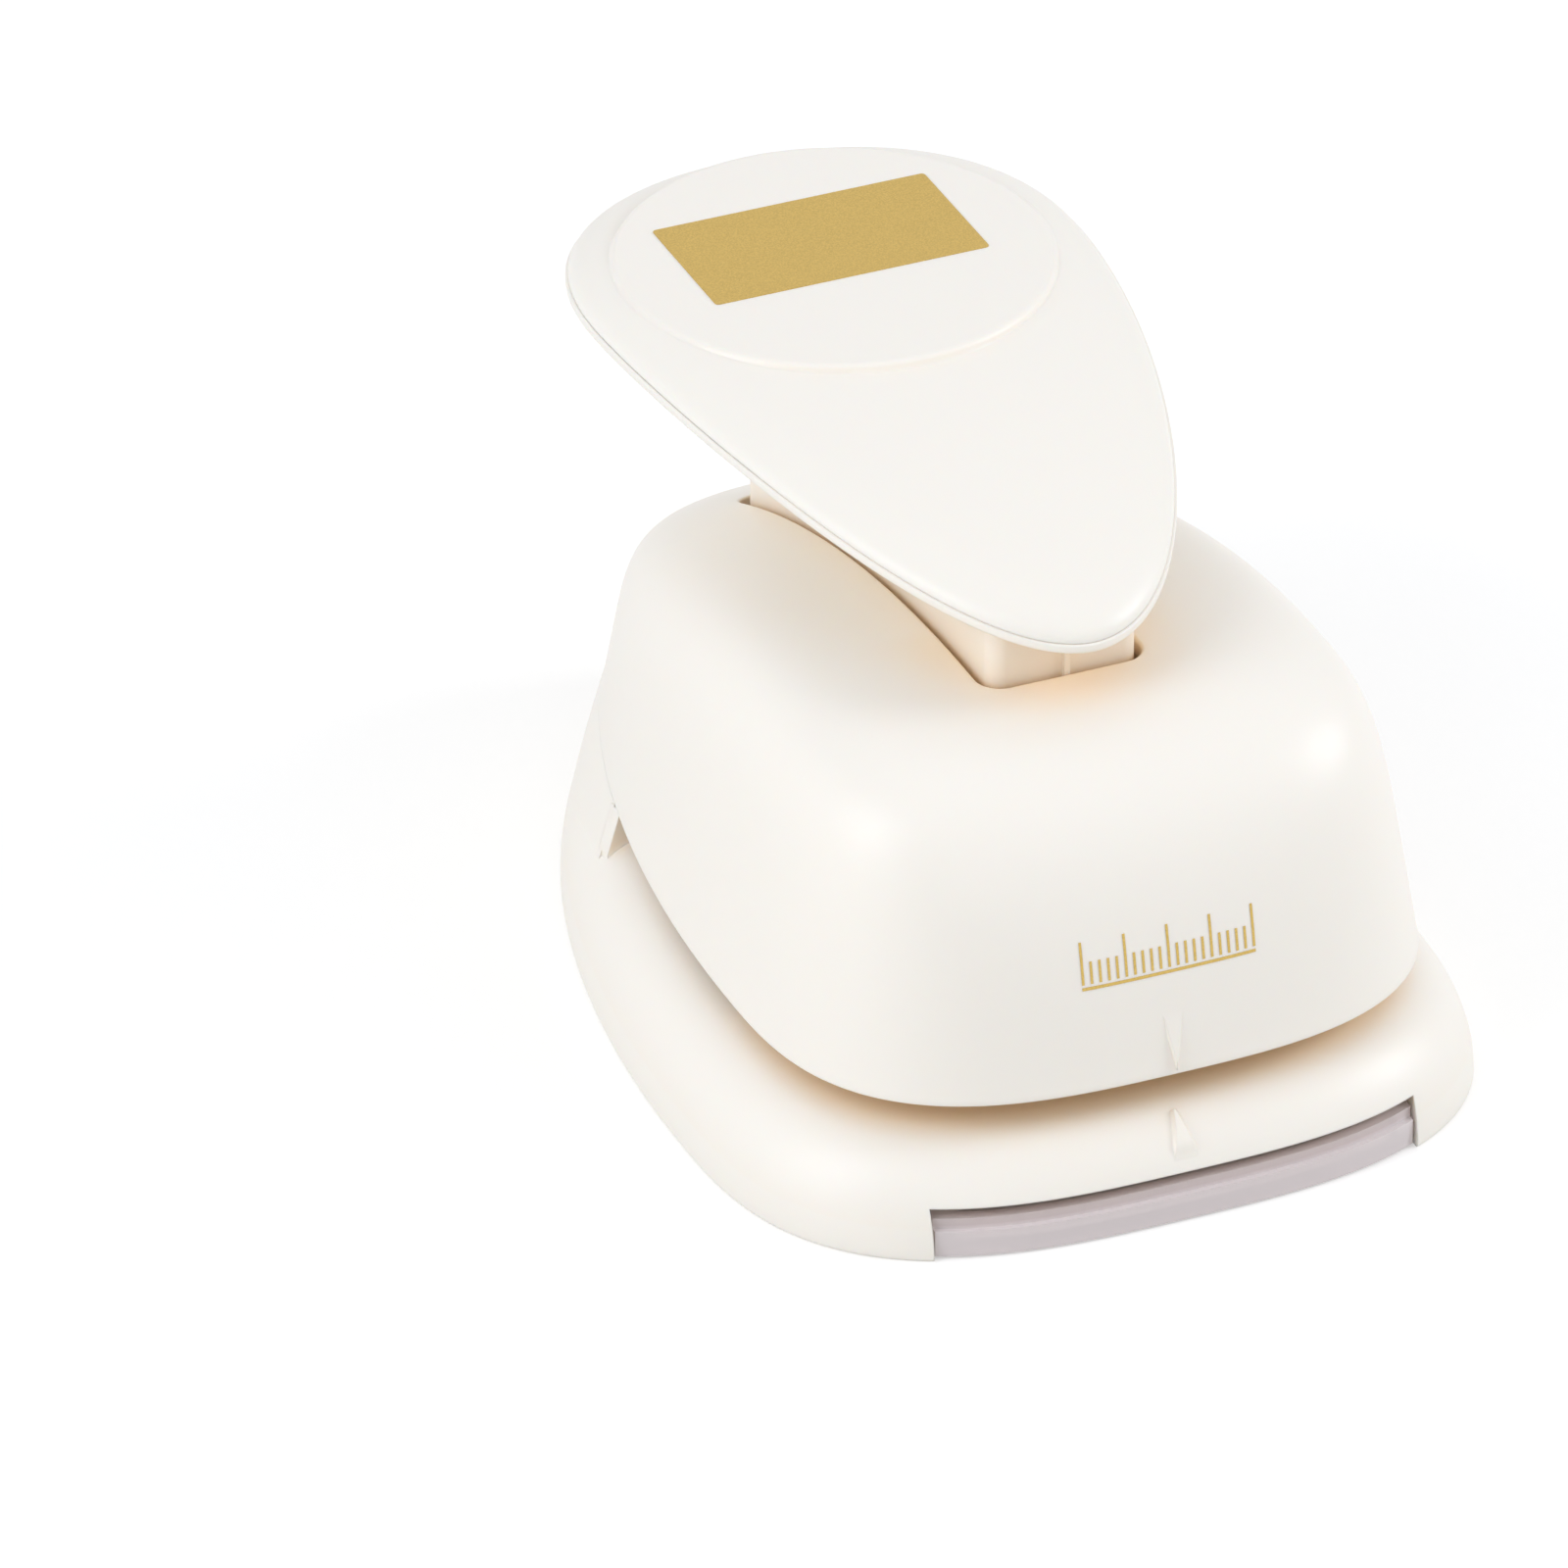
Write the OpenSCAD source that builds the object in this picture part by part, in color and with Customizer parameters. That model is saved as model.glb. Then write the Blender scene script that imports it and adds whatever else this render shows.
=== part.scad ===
// Lever craft punch: a dome housing on a wider base, a paper throat between them,
// and a wide lever that drives a rectangular punch through a steel die set.
// Millimetres, +Z up, the front faces -Y, the origin is on the table under the middle of the cut.

/* [Base] */
// Half of the base's greatest width
base_half_w = 55.3; // [52:0.1:60]
// Reach of the base in front of its widest line
base_front = 48; // [45:0.5:54]
// Reach of the base behind its widest line
base_back = 108.2; // [102:0.1:116]
// Distance of the widest line in front of the origin
widest = 30.5; // [28:0.5:33]
// Height of the paper table
table_z = 15.5; // [14:0.1:18]
// Thickness of the paper table
table_t = 4; // [3.5:0.1:5]
// Width of the rounded flange round the table
flange_round = 12; // [10:0.5:14]
// Wall of the base and the housing
shell_wall = 2.5; // [2:0.1:3]
// Squareness of the plan in front of the widest line
front_square = 2.95; // [2.5:0.05:3.4]
// Squareness of the plan behind the widest line
back_square = 2; // [1.9:0.01:2.3]

/* [Housing] */
// Step from the base's edge in to the housing's lip, at the sides
lip_side = 7.7; // [6:0.1:9]
// Step from the base's edge in to the housing's lip, in front
lip_front = 5.8; // [5:0.1:8]
// Step from the base's edge in to the housing's lip, at the back
lip_back = 0.6; // [0.4:0.1:3]
// Squareness of the lip's plan behind the widest line
lip_square = 2; // [1.9:0.01:2.3]
// Clear height of the throat, from the table to the lip
throat_h = 4.6; // [4.4:0.1:6]
// Depth of the throat behind the origin, at the sides
throat_end = 20.9; // [19:0.1:23]
// Height of the dome above its lip
dome_h = 42.7; // [41:0.1:45]
// Distance of the dome's crown in front of the origin
crown = 28; // [26:0.5:30]
// Radius of the dome's ridge, which falls to the back
ridge_r = 193; // [180:1:210]
// Fullness of the dome's shoulder in front
full_front = 4; // [3:0.1:5]
// Fullness of the dome's shoulders at the sides
full_side = 7.5; // [6:0.1:9]
// Fullness of the dome's shoulder at the back
full_back = 6.8; // [6:0.1:8]
// Share by which the dome's wall leans in, in front
lean_front = 0.15; // [0.1:0.01:0.2]
// Share by which the dome's walls lean in, at the sides
lean_side = 0.14; // [0.1:0.01:0.2]
// Share by which the dome's wall leans in, at the back
lean_back = 0.03; // [0.01:0.01:0.1]

/* [Lever] */
// Half of the lever's greatest width
lever_half_w = 36.4; // [33:0.1:40]
// Place of the lever's widest line
lever_widest = 40.5; // [38:0.5:43]
// Reach of the lever in front of its widest line
lever_front = 86; // [83:0.1:90]
// Reach of the lever behind its widest line
lever_back = 37.2; // [35:0.1:40]
// Radius of the lever's front tip
lever_tip_r = 8.2; // [6:0.1:10]
// Squareness of the lever's plan in front
lever_square = 1.63; // [1.5:0.01:1.8]
// Squareness of the lever's plan at the back
lever_rear_square = 2.26; // [2:0.01:2.4]
// Height of the lever's rim above the dome's crown
lever_rise = 19.2; // [18:0.1:20.4]
// Radius of the lever's long curve
lever_r = 333; // [300:1:400]
// Thickness of the lever at its edge
lever_t = 4.6; // [4.4:0.1:6]
// Thickness of the lever's underside plate
lever_plate_t = 1.4; // [1.2:0.1:1.6]
// Thickness of the top of the lever's cover
cover_t = 1.9; // [1.6:0.1:2.2]
// Radius of the round pad
pad_r = 30.7; // [27:0.1:32]
// Place of the pad's centre
pad_y = 41.5; // [39:0.5:43]
// Width of the gold foil
foil_w = 40.8; // [36:0.2:44]
// Depth of the gold foil
foil_d = 22.4; // [19:0.2:25]
// Distance of the foil's centre behind the pad's centre
foil_back = 4.7; // [0:0.1:6]
// Thickness of the gold foil
foil_t = 0.15; // [0.1:0.05:0.2]

/* [Skirt] */
// Half width of the lever opening in the dome
opening_half_w = 12; // [11.4:0.1:12.6]
// Front edge of the opening, in front of the origin
opening_front = 36.7; // [36.2:0.1:37.4]
// Rear edge of the opening, behind the origin
opening_back = 49.6; // [49:0.1:50.6]
// Corner radius of the opening
opening_r = 3.5; // [3:0.1:4]
// Gap round the skirt at the sides and in front
skirt_gap = 1; // [0.8:0.1:1.2]
// Gap behind the skirt, where it swings
skirt_gap_back = 2.4; // [2.2:0.1:3]
// Wall of the skirt
skirt_wall = 2; // [1.6:0.1:2.4]
// Depth of the skirt below the pivot
skirt_drop = 9; // [8:0.1:9.5]

/* [Pivot] */
// Distance of the pivot in front of the origin
pivot_front = 27.5; // [26.5:0.5:28.5]
// Depth of the pivot below the dome's crown
pivot_depth = 10.7; // [10.2:0.1:11.2]
// Radius of the pivot pin
pivot_r = 2.5; // [2:0.1:2.8]
// Thickness of each pivot ear
ear_t = 3; // [2.6:0.1:3.4]
// Radius of the ears round the pin
ear_r = 6; // [5.5:0.1:6.5]
// Thickness of the retaining clips
clip_t = 0.7; // [0.5:0.1:1]
// Radial clearance of pins in their bores
pin_clear = 0.06; // [0.02:0.01:0.1]

/* [Die set] */
// Width of the shape that is cut
cut_w = 57; // [52:0.5:60]
// Depth of the shape that is cut
cut_d = 32.3; // [29:0.1:34]
// Place of the middle of the cut
cut_y = 0; // [-1:0.5:1]
// Clearance of the punch in its plates
die_clear = 0.1; // [0.05:0.01:0.2]
// Thickness of the die plate and the guide plate
plate_t = 2; // [1.6:0.1:2.2]
// Height of the paper slot between the plates
slot_h = 1.6; // [1.2:0.1:1.8]
// Steel at each side of the cut
plate_side = 8; // [7:0.5:9]
// Steel in front of the cut
plate_front = 12; // [11.5:0.5:14]
// Steel behind the cut, up to the rear edge
plate_back = 24; // [22:0.5:25]
// Half width of the plates at their rear edge
plate_tail = 22; // [20:0.5:24]
// Radius of the die set's rivets
rivet_r = 2; // [1.6:0.1:2.4]

/* [Punch] */
// Height of the punch block
block_h = 14.6; // [13.6:0.1:15.2]
// Thickness of the punch head
head_t = 4; // [3.4:0.1:4.4]
// Height of the cutting edge above the guide plate's underside at rest
edge_rise = 0.5; // [0.3:0.1:1]
// Radius of the pin that presses on the head
press_r = 3; // [2.6:0.1:3.2]
// Height of the press pin below the pivot
press_drop = 3.5; // [3:0.1:4]
// Gap between the press pin and the wear plate at rest
press_gap = 0.3; // [0.2:0.05:0.5]
// Thickness of the wear plate
wear_t = 1; // [0.8:0.1:1.5]
// Half width of the post on the head
post_half = 7; // [6:0.1:7.4]
// Distance of the springs in from the sides of the cut
spring_in = 7.5; // [6.5:0.5:9]
// Distance of the springs beyond the edge of the cut
spring_out = 4.85; // [4.5:0.05:6]
// Mean radius of a spring
spring_r = 3; // [2.8:0.1:3.4]
// Diameter of the spring wire
wire_d = 0.9; // [0.7:0.1:1]
// Turns of a spring
spring_turns = 4; // [3:0.5:4.5]
// Radius of the guide pins
guide_r = 1.5; // [1.2:0.1:1.8]
// Height of the guide pins above the head
guide_over = 3; // [2:0.5:5]

/* [Tray] */
// Half width of the front cut-out
cutout_half_w = 35.6; // [34:0.1:37]
// Height of the front cut-out
cutout_h = 7.35; // [7:0.05:8]
// Clearance of the tray all round
tray_clear = 0.4; // [0.3:0.05:0.6]
// Wall of the tray
tray_wall = 1.6; // [1.2:0.1:2]
// Height of the tray
tray_h = 5.4; // [5:0.1:5.6]
// Width of the tray's side flanges
tray_flange = 2.2; // [1.8:0.1:2.6]
// Place of the tray's rear end
tray_back = 22.5; // [20:0.5:25]
// Thickness of the rails that carry the tray
rail_t = 1.2; // [1:0.1:1.6]

/* [Screws] */
// Radius of the housing screws
screw_r = 1.5; // [1.2:0.1:1.7]
// Radius of the screw bosses
boss_r = 3.2; // [3:0.1:3.4]
// Height of the bosses in the housing
boss_h = 14; // [12:0.5:16]
// Radius of the small screws in the lever and the head
small_screw_r = 1.1; // [0.9:0.1:1.3]
// Radial clearance of screws and rivets
screw_clear = 0.08; // [0.04:0.01:0.15]

/* [Marks] */
// Width of the moulded alignment marks
mark_w = 3.8; // [3:0.1:5]
// Relief of the alignment marks
mark_t = 0.5; // [0.3:0.1:0.8]

/* [Hidden] */

// Colours
ivory = [0.95, 0.93, 0.89];
gold = [0.78, 0.65, 0.35];
steel = [0.72, 0.73, 0.75];
zinc = [0.62, 0.63, 0.66];
dark_steel = [0.4, 0.41, 0.43];
clear_plastic = [0.75, 0.7, 0.7, 0.6];

// Points round a shell and steps up its side
around = 72;
steps = 14;
through = 1;

// Heights, from the table up
lip_z = table_z + throat_h;
crown_z = lip_z + dome_h;
pivot_z = crown_z - pivot_depth;
rim_z = crown_z + lever_rise;
pad_z = rim_z + lever_t;
die_z = table_z - plate_t;
guide_z = table_z + slot_h;
guide_top = guide_z + plate_t;
edge_z = guide_z + edge_rise;
block_top = edge_z + block_h;
head_top = block_top + head_t;
press_z = pivot_z - press_drop;
wear_top = press_z - press_r - press_gap;
cavity_z = table_z - table_t;

// Places along Y
widest_y = -widest;
crown_y = -crown;
pivot_y = -pivot_front;
press_y = cut_y;
opening_y0 = -opening_front;
opening_y1 = opening_back;
skirt_y0 = opening_y0 + skirt_gap;
skirt_y1 = opening_y1 - skirt_gap_back;
skirt_half_w = opening_half_w - skirt_gap;
skirt_z = pivot_z - skirt_drop;
plate_y0 = cut_y - cut_d / 2 - plate_front;
plate_y1 = cut_y + cut_d / 2 + plate_back;
spring_places = [for (side = [-1, 1]) cut_y + side * (cut_d / 2 + spring_out)];

// Half widths
ear_clear = 0.2;
pin_end = 0.8;
plate_half_w = cut_w / 2 + plate_side;
spring_x = cut_w / 2 - spring_in;
ear_x = opening_half_w + ear_clear;
pin_half = ear_x + ear_t + clip_t + pin_end;
tray_half_w = cutout_half_w - tray_clear;
tray_body_half = tray_half_w - tray_flange;

// Screw and rivet places
housing_screw_places = [[33, 33.5], [15, 52.5]];
lever_screw_places = [[20, 18.5], [20, 58.5]];
head_screw_in = 10.5;
head_screw_x = cut_w / 2 - head_screw_in;
rivet_x = 14;
rivet_in = 9;
rivet_y = plate_y1 - rivet_in;
rail_front = -51.5;

// Screw and rivet heads: height, width as a share of the shank, and room at a screw's tip
head_h = 1.4;
head_share = 1.9;
tip_room = 1;
head_screw_depth = 8;

// Seam between the lever's plate and its cover
cover_seam = 0.15;

// Depth to which the marks are sunk, and the curve of the wall behind the throat
mark_root = 3;
wall_curve = 1.4;

// Measured least gap between neighbouring turns of a spring
spring_play = 0.2;
spring_pitch = (block_top - guide_top - wire_d - spring_play) / spring_turns;
spring_gap = min([for (k = [0:24]) norm(coil(k * 15, 0) - coil(k * 15 + 360, 0))]) - wire_d;
echo(spring_gap = spring_gap);

// Outlines

// Point of an egg-shaped plan: half width, reach forward and back, and squareness of each end
function egg(t, half_w, front, back, square_front, square_back) =
    let (square = sin(t) < 0 ? square_front : square_back)
    let (reach = sin(t) < 0 ? front : back)
    [sign(cos(t)) * half_w * pow(abs(cos(t)), 2 / square),
     sign(sin(t)) * reach * pow(abs(sin(t)), 2 / square)];

// Base outline drawn in by a distance
function base_point(t, inset) =
    egg(t, base_half_w - inset, base_front - inset, base_back - inset, front_square, back_square)
    + [0, widest_y];

// Lip outline of the housing drawn in by a distance
function lip_point(t, inset) =
    egg(t, base_half_w - lip_side - inset, base_front - lip_front - inset, base_back - lip_back - inset,
        front_square, lip_square) + [0, widest_y];

// Lever outline drawn in by a distance: an egg that is grown all round by the radius of the tip
function lever_point(t, inset) =
    let (square = sin(t) < 0 ? lever_square : lever_rear_square)
    let (reach = (sin(t) < 0 ? lever_front : lever_back) - lever_tip_r)
    let (half_w = lever_half_w - lever_tip_r)
    let (outward = [sign(cos(t)) * pow(abs(cos(t)), 2 - 2 / square) / half_w,
        sign(sin(t)) * pow(abs(sin(t)), 2 - 2 / square) / reach])
    egg(t, half_w, lever_front - lever_tip_r, lever_back - lever_tip_r, lever_square, lever_rear_square)
    + (lever_tip_r - inset) * outward / norm(outward) + [0, lever_widest];

function ring(f) = [for (i = [0:around - 1]) f(360 * i / around)];
function raise(outline, z) = [for (p = outline) [p.x, p.y, z]];

// Height of the flange at a distance in from the base's edge, and the reverse
function flange_inset(z) = flange_round * (1 - sqrt(1 - pow(min(z / table_z, 1), 2)));

// Ridge of the dome, level in front of the crown and falling behind it
function ridge(y, top) = top - pow(max(0, y - crown_y), 2) / (2 * ridge_r);

// Height of the lever's lower rim
function rim(y) = rim_z - lever_r + sqrt(lever_r * lever_r - pow(y - lever_widest, 2));

// Centre line of a spring, from the angle turned
function coil(turn, angle) =
    [spring_r * cos(turn + angle), spring_r * sin(turn + angle),
     guide_top + (wire_d + spring_play) / 2 + spring_pitch * turn / 360];

// Shapes

// Closed solid through a stack of rings, each with the same number of points
module loft(rings) {
    n = len(rings[0]);
    last = len(rings) - 1;
    share = [for (i = [1:n]) 1 / n];
    middles = [for (k = [0, last]) share * rings[k]];
    points = concat([for (r = rings) each r], middles);
    sides = [for (k = [0:last - 1], i = [0:n - 1])
        let (j = (i + 1) % n)
        each [[k * n + i, (k + 1) * n + i, (k + 1) * n + j], [k * n + i, (k + 1) * n + j, k * n + j]]];
    foot = [for (i = [0:n - 1]) [n * (last + 1), i, (i + 1) % n]];
    cap = [for (i = [0:n - 1]) [n * (last + 1) + 1, last * n + (i + 1) % n, last * n + i]];
    polyhedron(points = points, faces = concat(sides, foot, cap), convexity = 6);
}

// Upright block with round corners
module rounded_block(x0, x1, y0, y1, z0, z1, r) {
    translate([0, 0, z0]) linear_extrude(z1 - z0) union() {
        translate([x0 + r, y0]) square([x1 - x0 - 2 * r, y1 - y0]);
        translate([x0, y0 + r]) square([x1 - x0, y1 - y0 - 2 * r]);
        for (x = [x0 + r, x1 - r], y = [y0 + r, y1 - r]) translate([x, y]) circle(r, $fn = 48);
    }
}

module block(x0, x1, y0, y1, z0, z1) {
    translate([x0, y0, z0]) cube([x1 - x0, y1 - y0, z1 - z0]);
}

// Round bar across the part, centred on the middle plane
module cross_bar(y, z, r, half) {
    translate([0, y, z]) rotate([0, 90, 0]) cylinder(r = r, h = 2 * half, center = true, $fn = 64);
}

module upright(x, y, z0, z1, r) {
    translate([x, y, z0]) cylinder(r = r, h = z1 - z0, $fn = 48);
}

// Everything below the lever's long curve raised by a height
module under_curve(h) {
    cross_bar(lever_widest, rim_z - lever_r, lever_r + h, 2 * lever_half_w);
}

// Both mirror images of a shape, left and right
module both_sides() {
    children();
    mirror([1, 0, 0]) children();
}

// Raised triangle, pointing along +Y of its own plane
module mark(length, relief) {
    translate([0, 0, -mark_root]) linear_extrude(mark_root + relief)
        polygon([[-mark_w / 2, 0], [mark_w / 2, 0], [0, length]]);
}

// Base

module base_body() {
    loft([for (k = [0:steps])
        let (z = table_z * sin(90 * k / steps))
        raise(ring(function(t) base_point(t, flange_inset(z))), z)]);
}

// Rear wall that closes the throat and carries the housing
module rear_wall() {
    function wall_point(t, part, inset) =
        (1 - part) * base_point(t, inset) + part * lip_point(t, inset);
    intersection() {
        difference() {
            loft([for (k = [0:6])
                let (z = lip_z * k / 6)
                raise(ring(function(t) wall_point(t, pow(z / lip_z, wall_curve), 0)), z)]);
            loft([for (k = [0:2])
                let (z = table_z + (throat_h + through) * k / 2)
                raise(ring(function(t) wall_point(t, pow(min(z / lip_z, 1), wall_curve), shell_wall)), z)]);
        }
        block(-base_half_w, base_half_w, throat_end, base_back, 0, lip_z);
    }
}

module base_cavity() {
    loft([for (k = [0:5])
        let (z = k == 0 ? -through : cavity_z * k / 5)
        raise(ring(function(t) base_point(t, shell_wall + flange_inset(max(z, 0)))), z)]);
}

// Ledges under the tray's flanges, hung from the table
module tray_rails() {
    ledge_top = tray_clear + tray_h - tray_wall - tray_clear;
    both_sides() {
        block(tray_half_w + tray_clear, tray_half_w + tray_clear + rail_t, rail_front, tray_back,
            ledge_top - rail_t, cavity_z + through);
        block(tray_body_half + tray_clear, tray_half_w + tray_clear + rail_t, rail_front, tray_back,
            ledge_top - rail_t, ledge_top);
    }
}

// Front mark on the flange, and the wedge that ends the throat at each side
module base_marks() {
    foot_z = 9;
    apex_z = 13.9;
    wedge_out = 2;
    wedge_part = (throat_end - widest_y) / (base_back - lip_back);
    wedge_x = (base_half_w - lip_side) * pow(1 - pow(wedge_part, lip_square), 1 / lip_square);
    foot_y = widest_y - base_front + flange_inset(foot_z);
    run = flange_inset(apex_z) - flange_inset(foot_z);
    length = norm([run, apex_z - foot_z]);
    translate([0, foot_y, foot_z]) rotate([atan((apex_z - foot_z) / run), 0, 0]) mark(length, 2 * mark_t);
    both_sides() translate([wedge_x, throat_end + through, 0]) rotate([90, 0, 0])
        linear_extrude(wedge_out + through) polygon([[-mark_w / 2, cavity_z], [mark_w / 2, cavity_z],
            [mark_w / 2, die_z], [0, lip_z], [-mark_w / 2, die_z]]);
}

module base_shell() {
    drop_room = 2;
    color(ivory) difference() {
        union() {
            base_body();
            rear_wall();
            base_marks();
            for (p = housing_screw_places) both_sides() upright(p.x, p.y, cavity_z, lip_z, boss_r);
        }
        difference() {
            base_cavity();
            tray_rails();
        }
        block(-cutout_half_w, cutout_half_w, -2 * base_front, widest_y - base_front / 2, -through, cutout_h);
        die_plate_outline(die_z, table_z + through, pin_clear);
        block(-cut_w / 2 - drop_room, cut_w / 2 + drop_room, cut_y - cut_d / 2 - drop_room,
            cut_y + cut_d / 2 + drop_room, cavity_z - through, table_z);
        for (p = housing_screw_places) both_sides()
            upright(p.x, p.y, cavity_z - through, lip_z + through, screw_r + screw_clear);
    }
}

// Housing

// Value that changes smoothly from the sides to the front or the back of the plan
function turned(t, side, front, back) = side + ((sin(t) < 0 ? front : back) - side) * pow(sin(t), 2);

// Point of the dome, drawn in by a distance: direction in plan, and angle up the meridian
function dome_point(t, a, inset) =
    let (full = turned(t, full_side, full_front, full_back))
    let (up = pow(sin(a), 2 / full))
    let (part = pow(cos(a), 2 / full) * (1 - up * turned(t, lean_side, lean_front, lean_back)))
    let (p = part * lip_point(t, inset) + (1 - part) * [0, crown_y])
    [p.x, p.y, lip_z + (ridge(p.y, crown_z - inset) - lip_z) * up];

// Solid dome drawn in by a distance, with its foot lowered
module dome(inset, foot_drop) {
    loft([for (k = [0:steps])
        let (a = k == steps ? 89.9 : 90 * k / steps)
        [for (i = [0:around - 1])
            dome_point(360 * i / around, a, inset) - [0, 0, k == 0 ? foot_drop : 0]]]);
}

module pivot_ears() {
    both_sides() translate([ear_x, 0, 0]) {
        translate([ear_t / 2, 0, 0]) cross_bar(pivot_y, pivot_z, ear_r, ear_t / 2);
        block(0, ear_t, pivot_y - ear_r, pivot_y + ear_r, pivot_z, crown_z);
    }
}

// Bosses for the housing screws, each with a rib to the wall
module housing_bosses() {
    rib_half = 0.8;
    both_sides() {
        for (p = housing_screw_places) upright(p.x, p.y, lip_z, lip_z + boss_h, boss_r);
        block(housing_screw_places[0].x, base_half_w, housing_screw_places[0].y - rib_half,
            housing_screw_places[0].y + rib_half, lip_z, lip_z + boss_h);
        block(housing_screw_places[1].x - rib_half, housing_screw_places[1].x + rib_half,
            housing_screw_places[1].y, base_back, lip_z, lip_z + boss_h);
    }
}

module upper_housing() {
    color(ivory) difference() {
        union() {
            dome(0, 0);
            housing_mark();
        }
        difference() {
            dome(shell_wall, through);
            pivot_ears();
            housing_bosses();
        }
        rounded_block(-opening_half_w, opening_half_w, opening_y0, opening_y1, lip_z + dome_h / 4,
            crown_z + through, opening_r);
        cross_bar(pivot_y, pivot_z, pivot_r + pin_clear, ear_x + ear_t + through);
        for (p = housing_screw_places) both_sides()
            upright(p.x, p.y, lip_z - through, lip_z + boss_h - tip_room, screw_r + screw_clear);
    }
}

// Place of the dome's front at a height above the lip
function dome_front(h) =
    let (up = h / dome_h)
    let (part = pow(1 - pow(up, full_front), 1 / full_front) * (1 - up * lean_front))
    crown_y + (widest_y - base_front + lip_front - crown_y) * part;

// Mark in the middle of the dome's front, pointing down to the throat
module housing_mark() {
    mark_top = 9.6;
    mark_tip = 0.6;
    lean = atan((dome_front(mark_top) - dome_front(mark_tip)) / (mark_top - mark_tip));
    translate([0, dome_front(mark_top), lip_z + mark_top]) rotate([-90 - lean, 0, 0]) mirror([0, 0, 1])
        mark((mark_top - mark_tip) / cos(lean), mark_t);
}

module throat_plate() {
    gap = 0.25;
    floor_t = 1.6;
    color(ivory) intersection() {
        translate([0, 0, lip_z + gap]) linear_extrude(floor_t)
            polygon(ring(function(t) lip_point(t, shell_wall + 1)));
        block(-base_half_w, base_half_w, -2 * base_front, plate_y0 - gap, 0, crown_z);
    }
}

// Lever

module lever_plate() {
    intersection() {
        translate([0, 0, lip_z]) linear_extrude(2 * dome_h) polygon(ring(function(t) lever_point(t, 0)));
        difference() {
            under_curve(lever_plate_t);
            under_curve(0);
        }
    }
}

module skirt() {
    intersection() {
        difference() {
            rounded_block(-skirt_half_w, skirt_half_w, skirt_y0, skirt_y1, skirt_z, rim_z,
                opening_r - skirt_gap);
            rounded_block(-skirt_half_w + skirt_wall, skirt_half_w - skirt_wall, skirt_y0 + skirt_wall,
                skirt_y1 - skirt_wall, skirt_z - through, rim_z + through, opening_r - skirt_gap);
        }
        under_curve(lever_plate_t / 2);
    }
}

module lever_body() {
    rib_w = 1.2;
    rib_out = 0.6;
    color(ivory) difference() {
        union() {
            lever_plate();
            skirt();
            intersection() {
                block(-rib_w / 2, rib_w / 2, skirt_y0 - rib_out, skirt_y0 + through, pivot_z, rim_z);
                under_curve(lever_plate_t / 2);
            }
        }
        cross_bar(pivot_y, pivot_z, pivot_r + pin_clear, opening_half_w);
        cross_bar(press_y, press_z, press_r + pin_clear, opening_half_w);
        for (p = lever_screw_places) both_sides()
            upright(p.x, p.y, lip_z, 2 * crown_z, small_screw_r + screw_clear);
    }
}

// Ring of the cover at a height above the lower rim
function cover_ring(inset, h) =
    [for (i = [0:around - 1]) let (p = lever_point(360 * i / around, inset)) [p.x, p.y, rim(p.y) + h]];

// Ring of the cover shrunk towards the lever's widest line
function cover_ring_part(inset, part, h) =
    [for (i = [0:around - 1])
        let (p = part * lever_point(360 * i / around, inset) + (1 - part) * [0, lever_widest])
        [p.x, p.y, rim(p.y) + h]];

module lever_cover() {
    edge_in = 0.6;
    edge_wall = 2;
    edge_r = 3.2;
    upstand = 0.35;
    foot = lever_plate_t + cover_seam;
    rise = lever_t - foot;
    color(ivory) difference() {
        union() {
            loft(concat(
                [cover_ring(edge_in + 2 * edge_wall, foot)],
                [for (k = [0:5])
                    let (a = 90 * k / 5)
                    let (h = k == 0 ? 0 : upstand + (1 - upstand) * sin(a))
                    cover_ring(edge_in + edge_r * (1 - cos(a)), foot + rise * h)],
                [for (part = [0.75, 0.5, 0.25, 0.02]) cover_ring_part(edge_in + edge_r, part, lever_t)]));
            upright(0, pad_y, rim_z + cover_t, pad_z, pad_r);
        }
        loft(concat(
            [for (h = [0, lever_t - cover_t]) cover_ring(edge_in + edge_wall, h)],
            [for (part = [0.7, 0.4, 0.02]) cover_ring_part(edge_in + edge_wall, part, lever_t - cover_t)]));
        for (p = lever_screw_places) both_sides()
            upright(p.x, p.y, rim_z, rim(p.y) + lever_t - tip_room + screw_clear,
                small_screw_r + screw_clear);
    }
}

module foil_label() {
    color(gold) block(-foil_w / 2, foil_w / 2, pad_y + foil_back - foil_d / 2, pad_y + foil_back + foil_d / 2,
        pad_z, pad_z + foil_t);
}

module lever_screws() {
    under = 0.25;
    color(steel) for (p = lever_screw_places) both_sides() {
        upright(p.x, p.y, rim(p.y) - under, rim(p.y) + lever_t - tip_room, small_screw_r);
        upright(p.x, p.y, rim(p.y) - under - head_h, rim(p.y) - under, head_share * small_screw_r);
    }
}

module pivot_pin() {
    color(steel) cross_bar(pivot_y, pivot_z, pivot_r, pin_half);
}

module pin_clips() {
    clip_w = 2;
    clip_gap = 0.1;
    color(dark_steel) both_sides() translate([ear_x + ear_t + clip_gap, pivot_y, pivot_z])
        rotate([0, 90, 0]) difference() {
            cylinder(r = pivot_r + clip_w, h = clip_t, $fn = 48);
            translate([0, 0, -through]) cylinder(r = pivot_r + pin_clear, h = clip_t + 2 * through, $fn = 48);
        }
}

module press_pin() {
    color(steel) cross_bar(press_y, press_z, press_r, skirt_half_w);
}

// Die set

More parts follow.
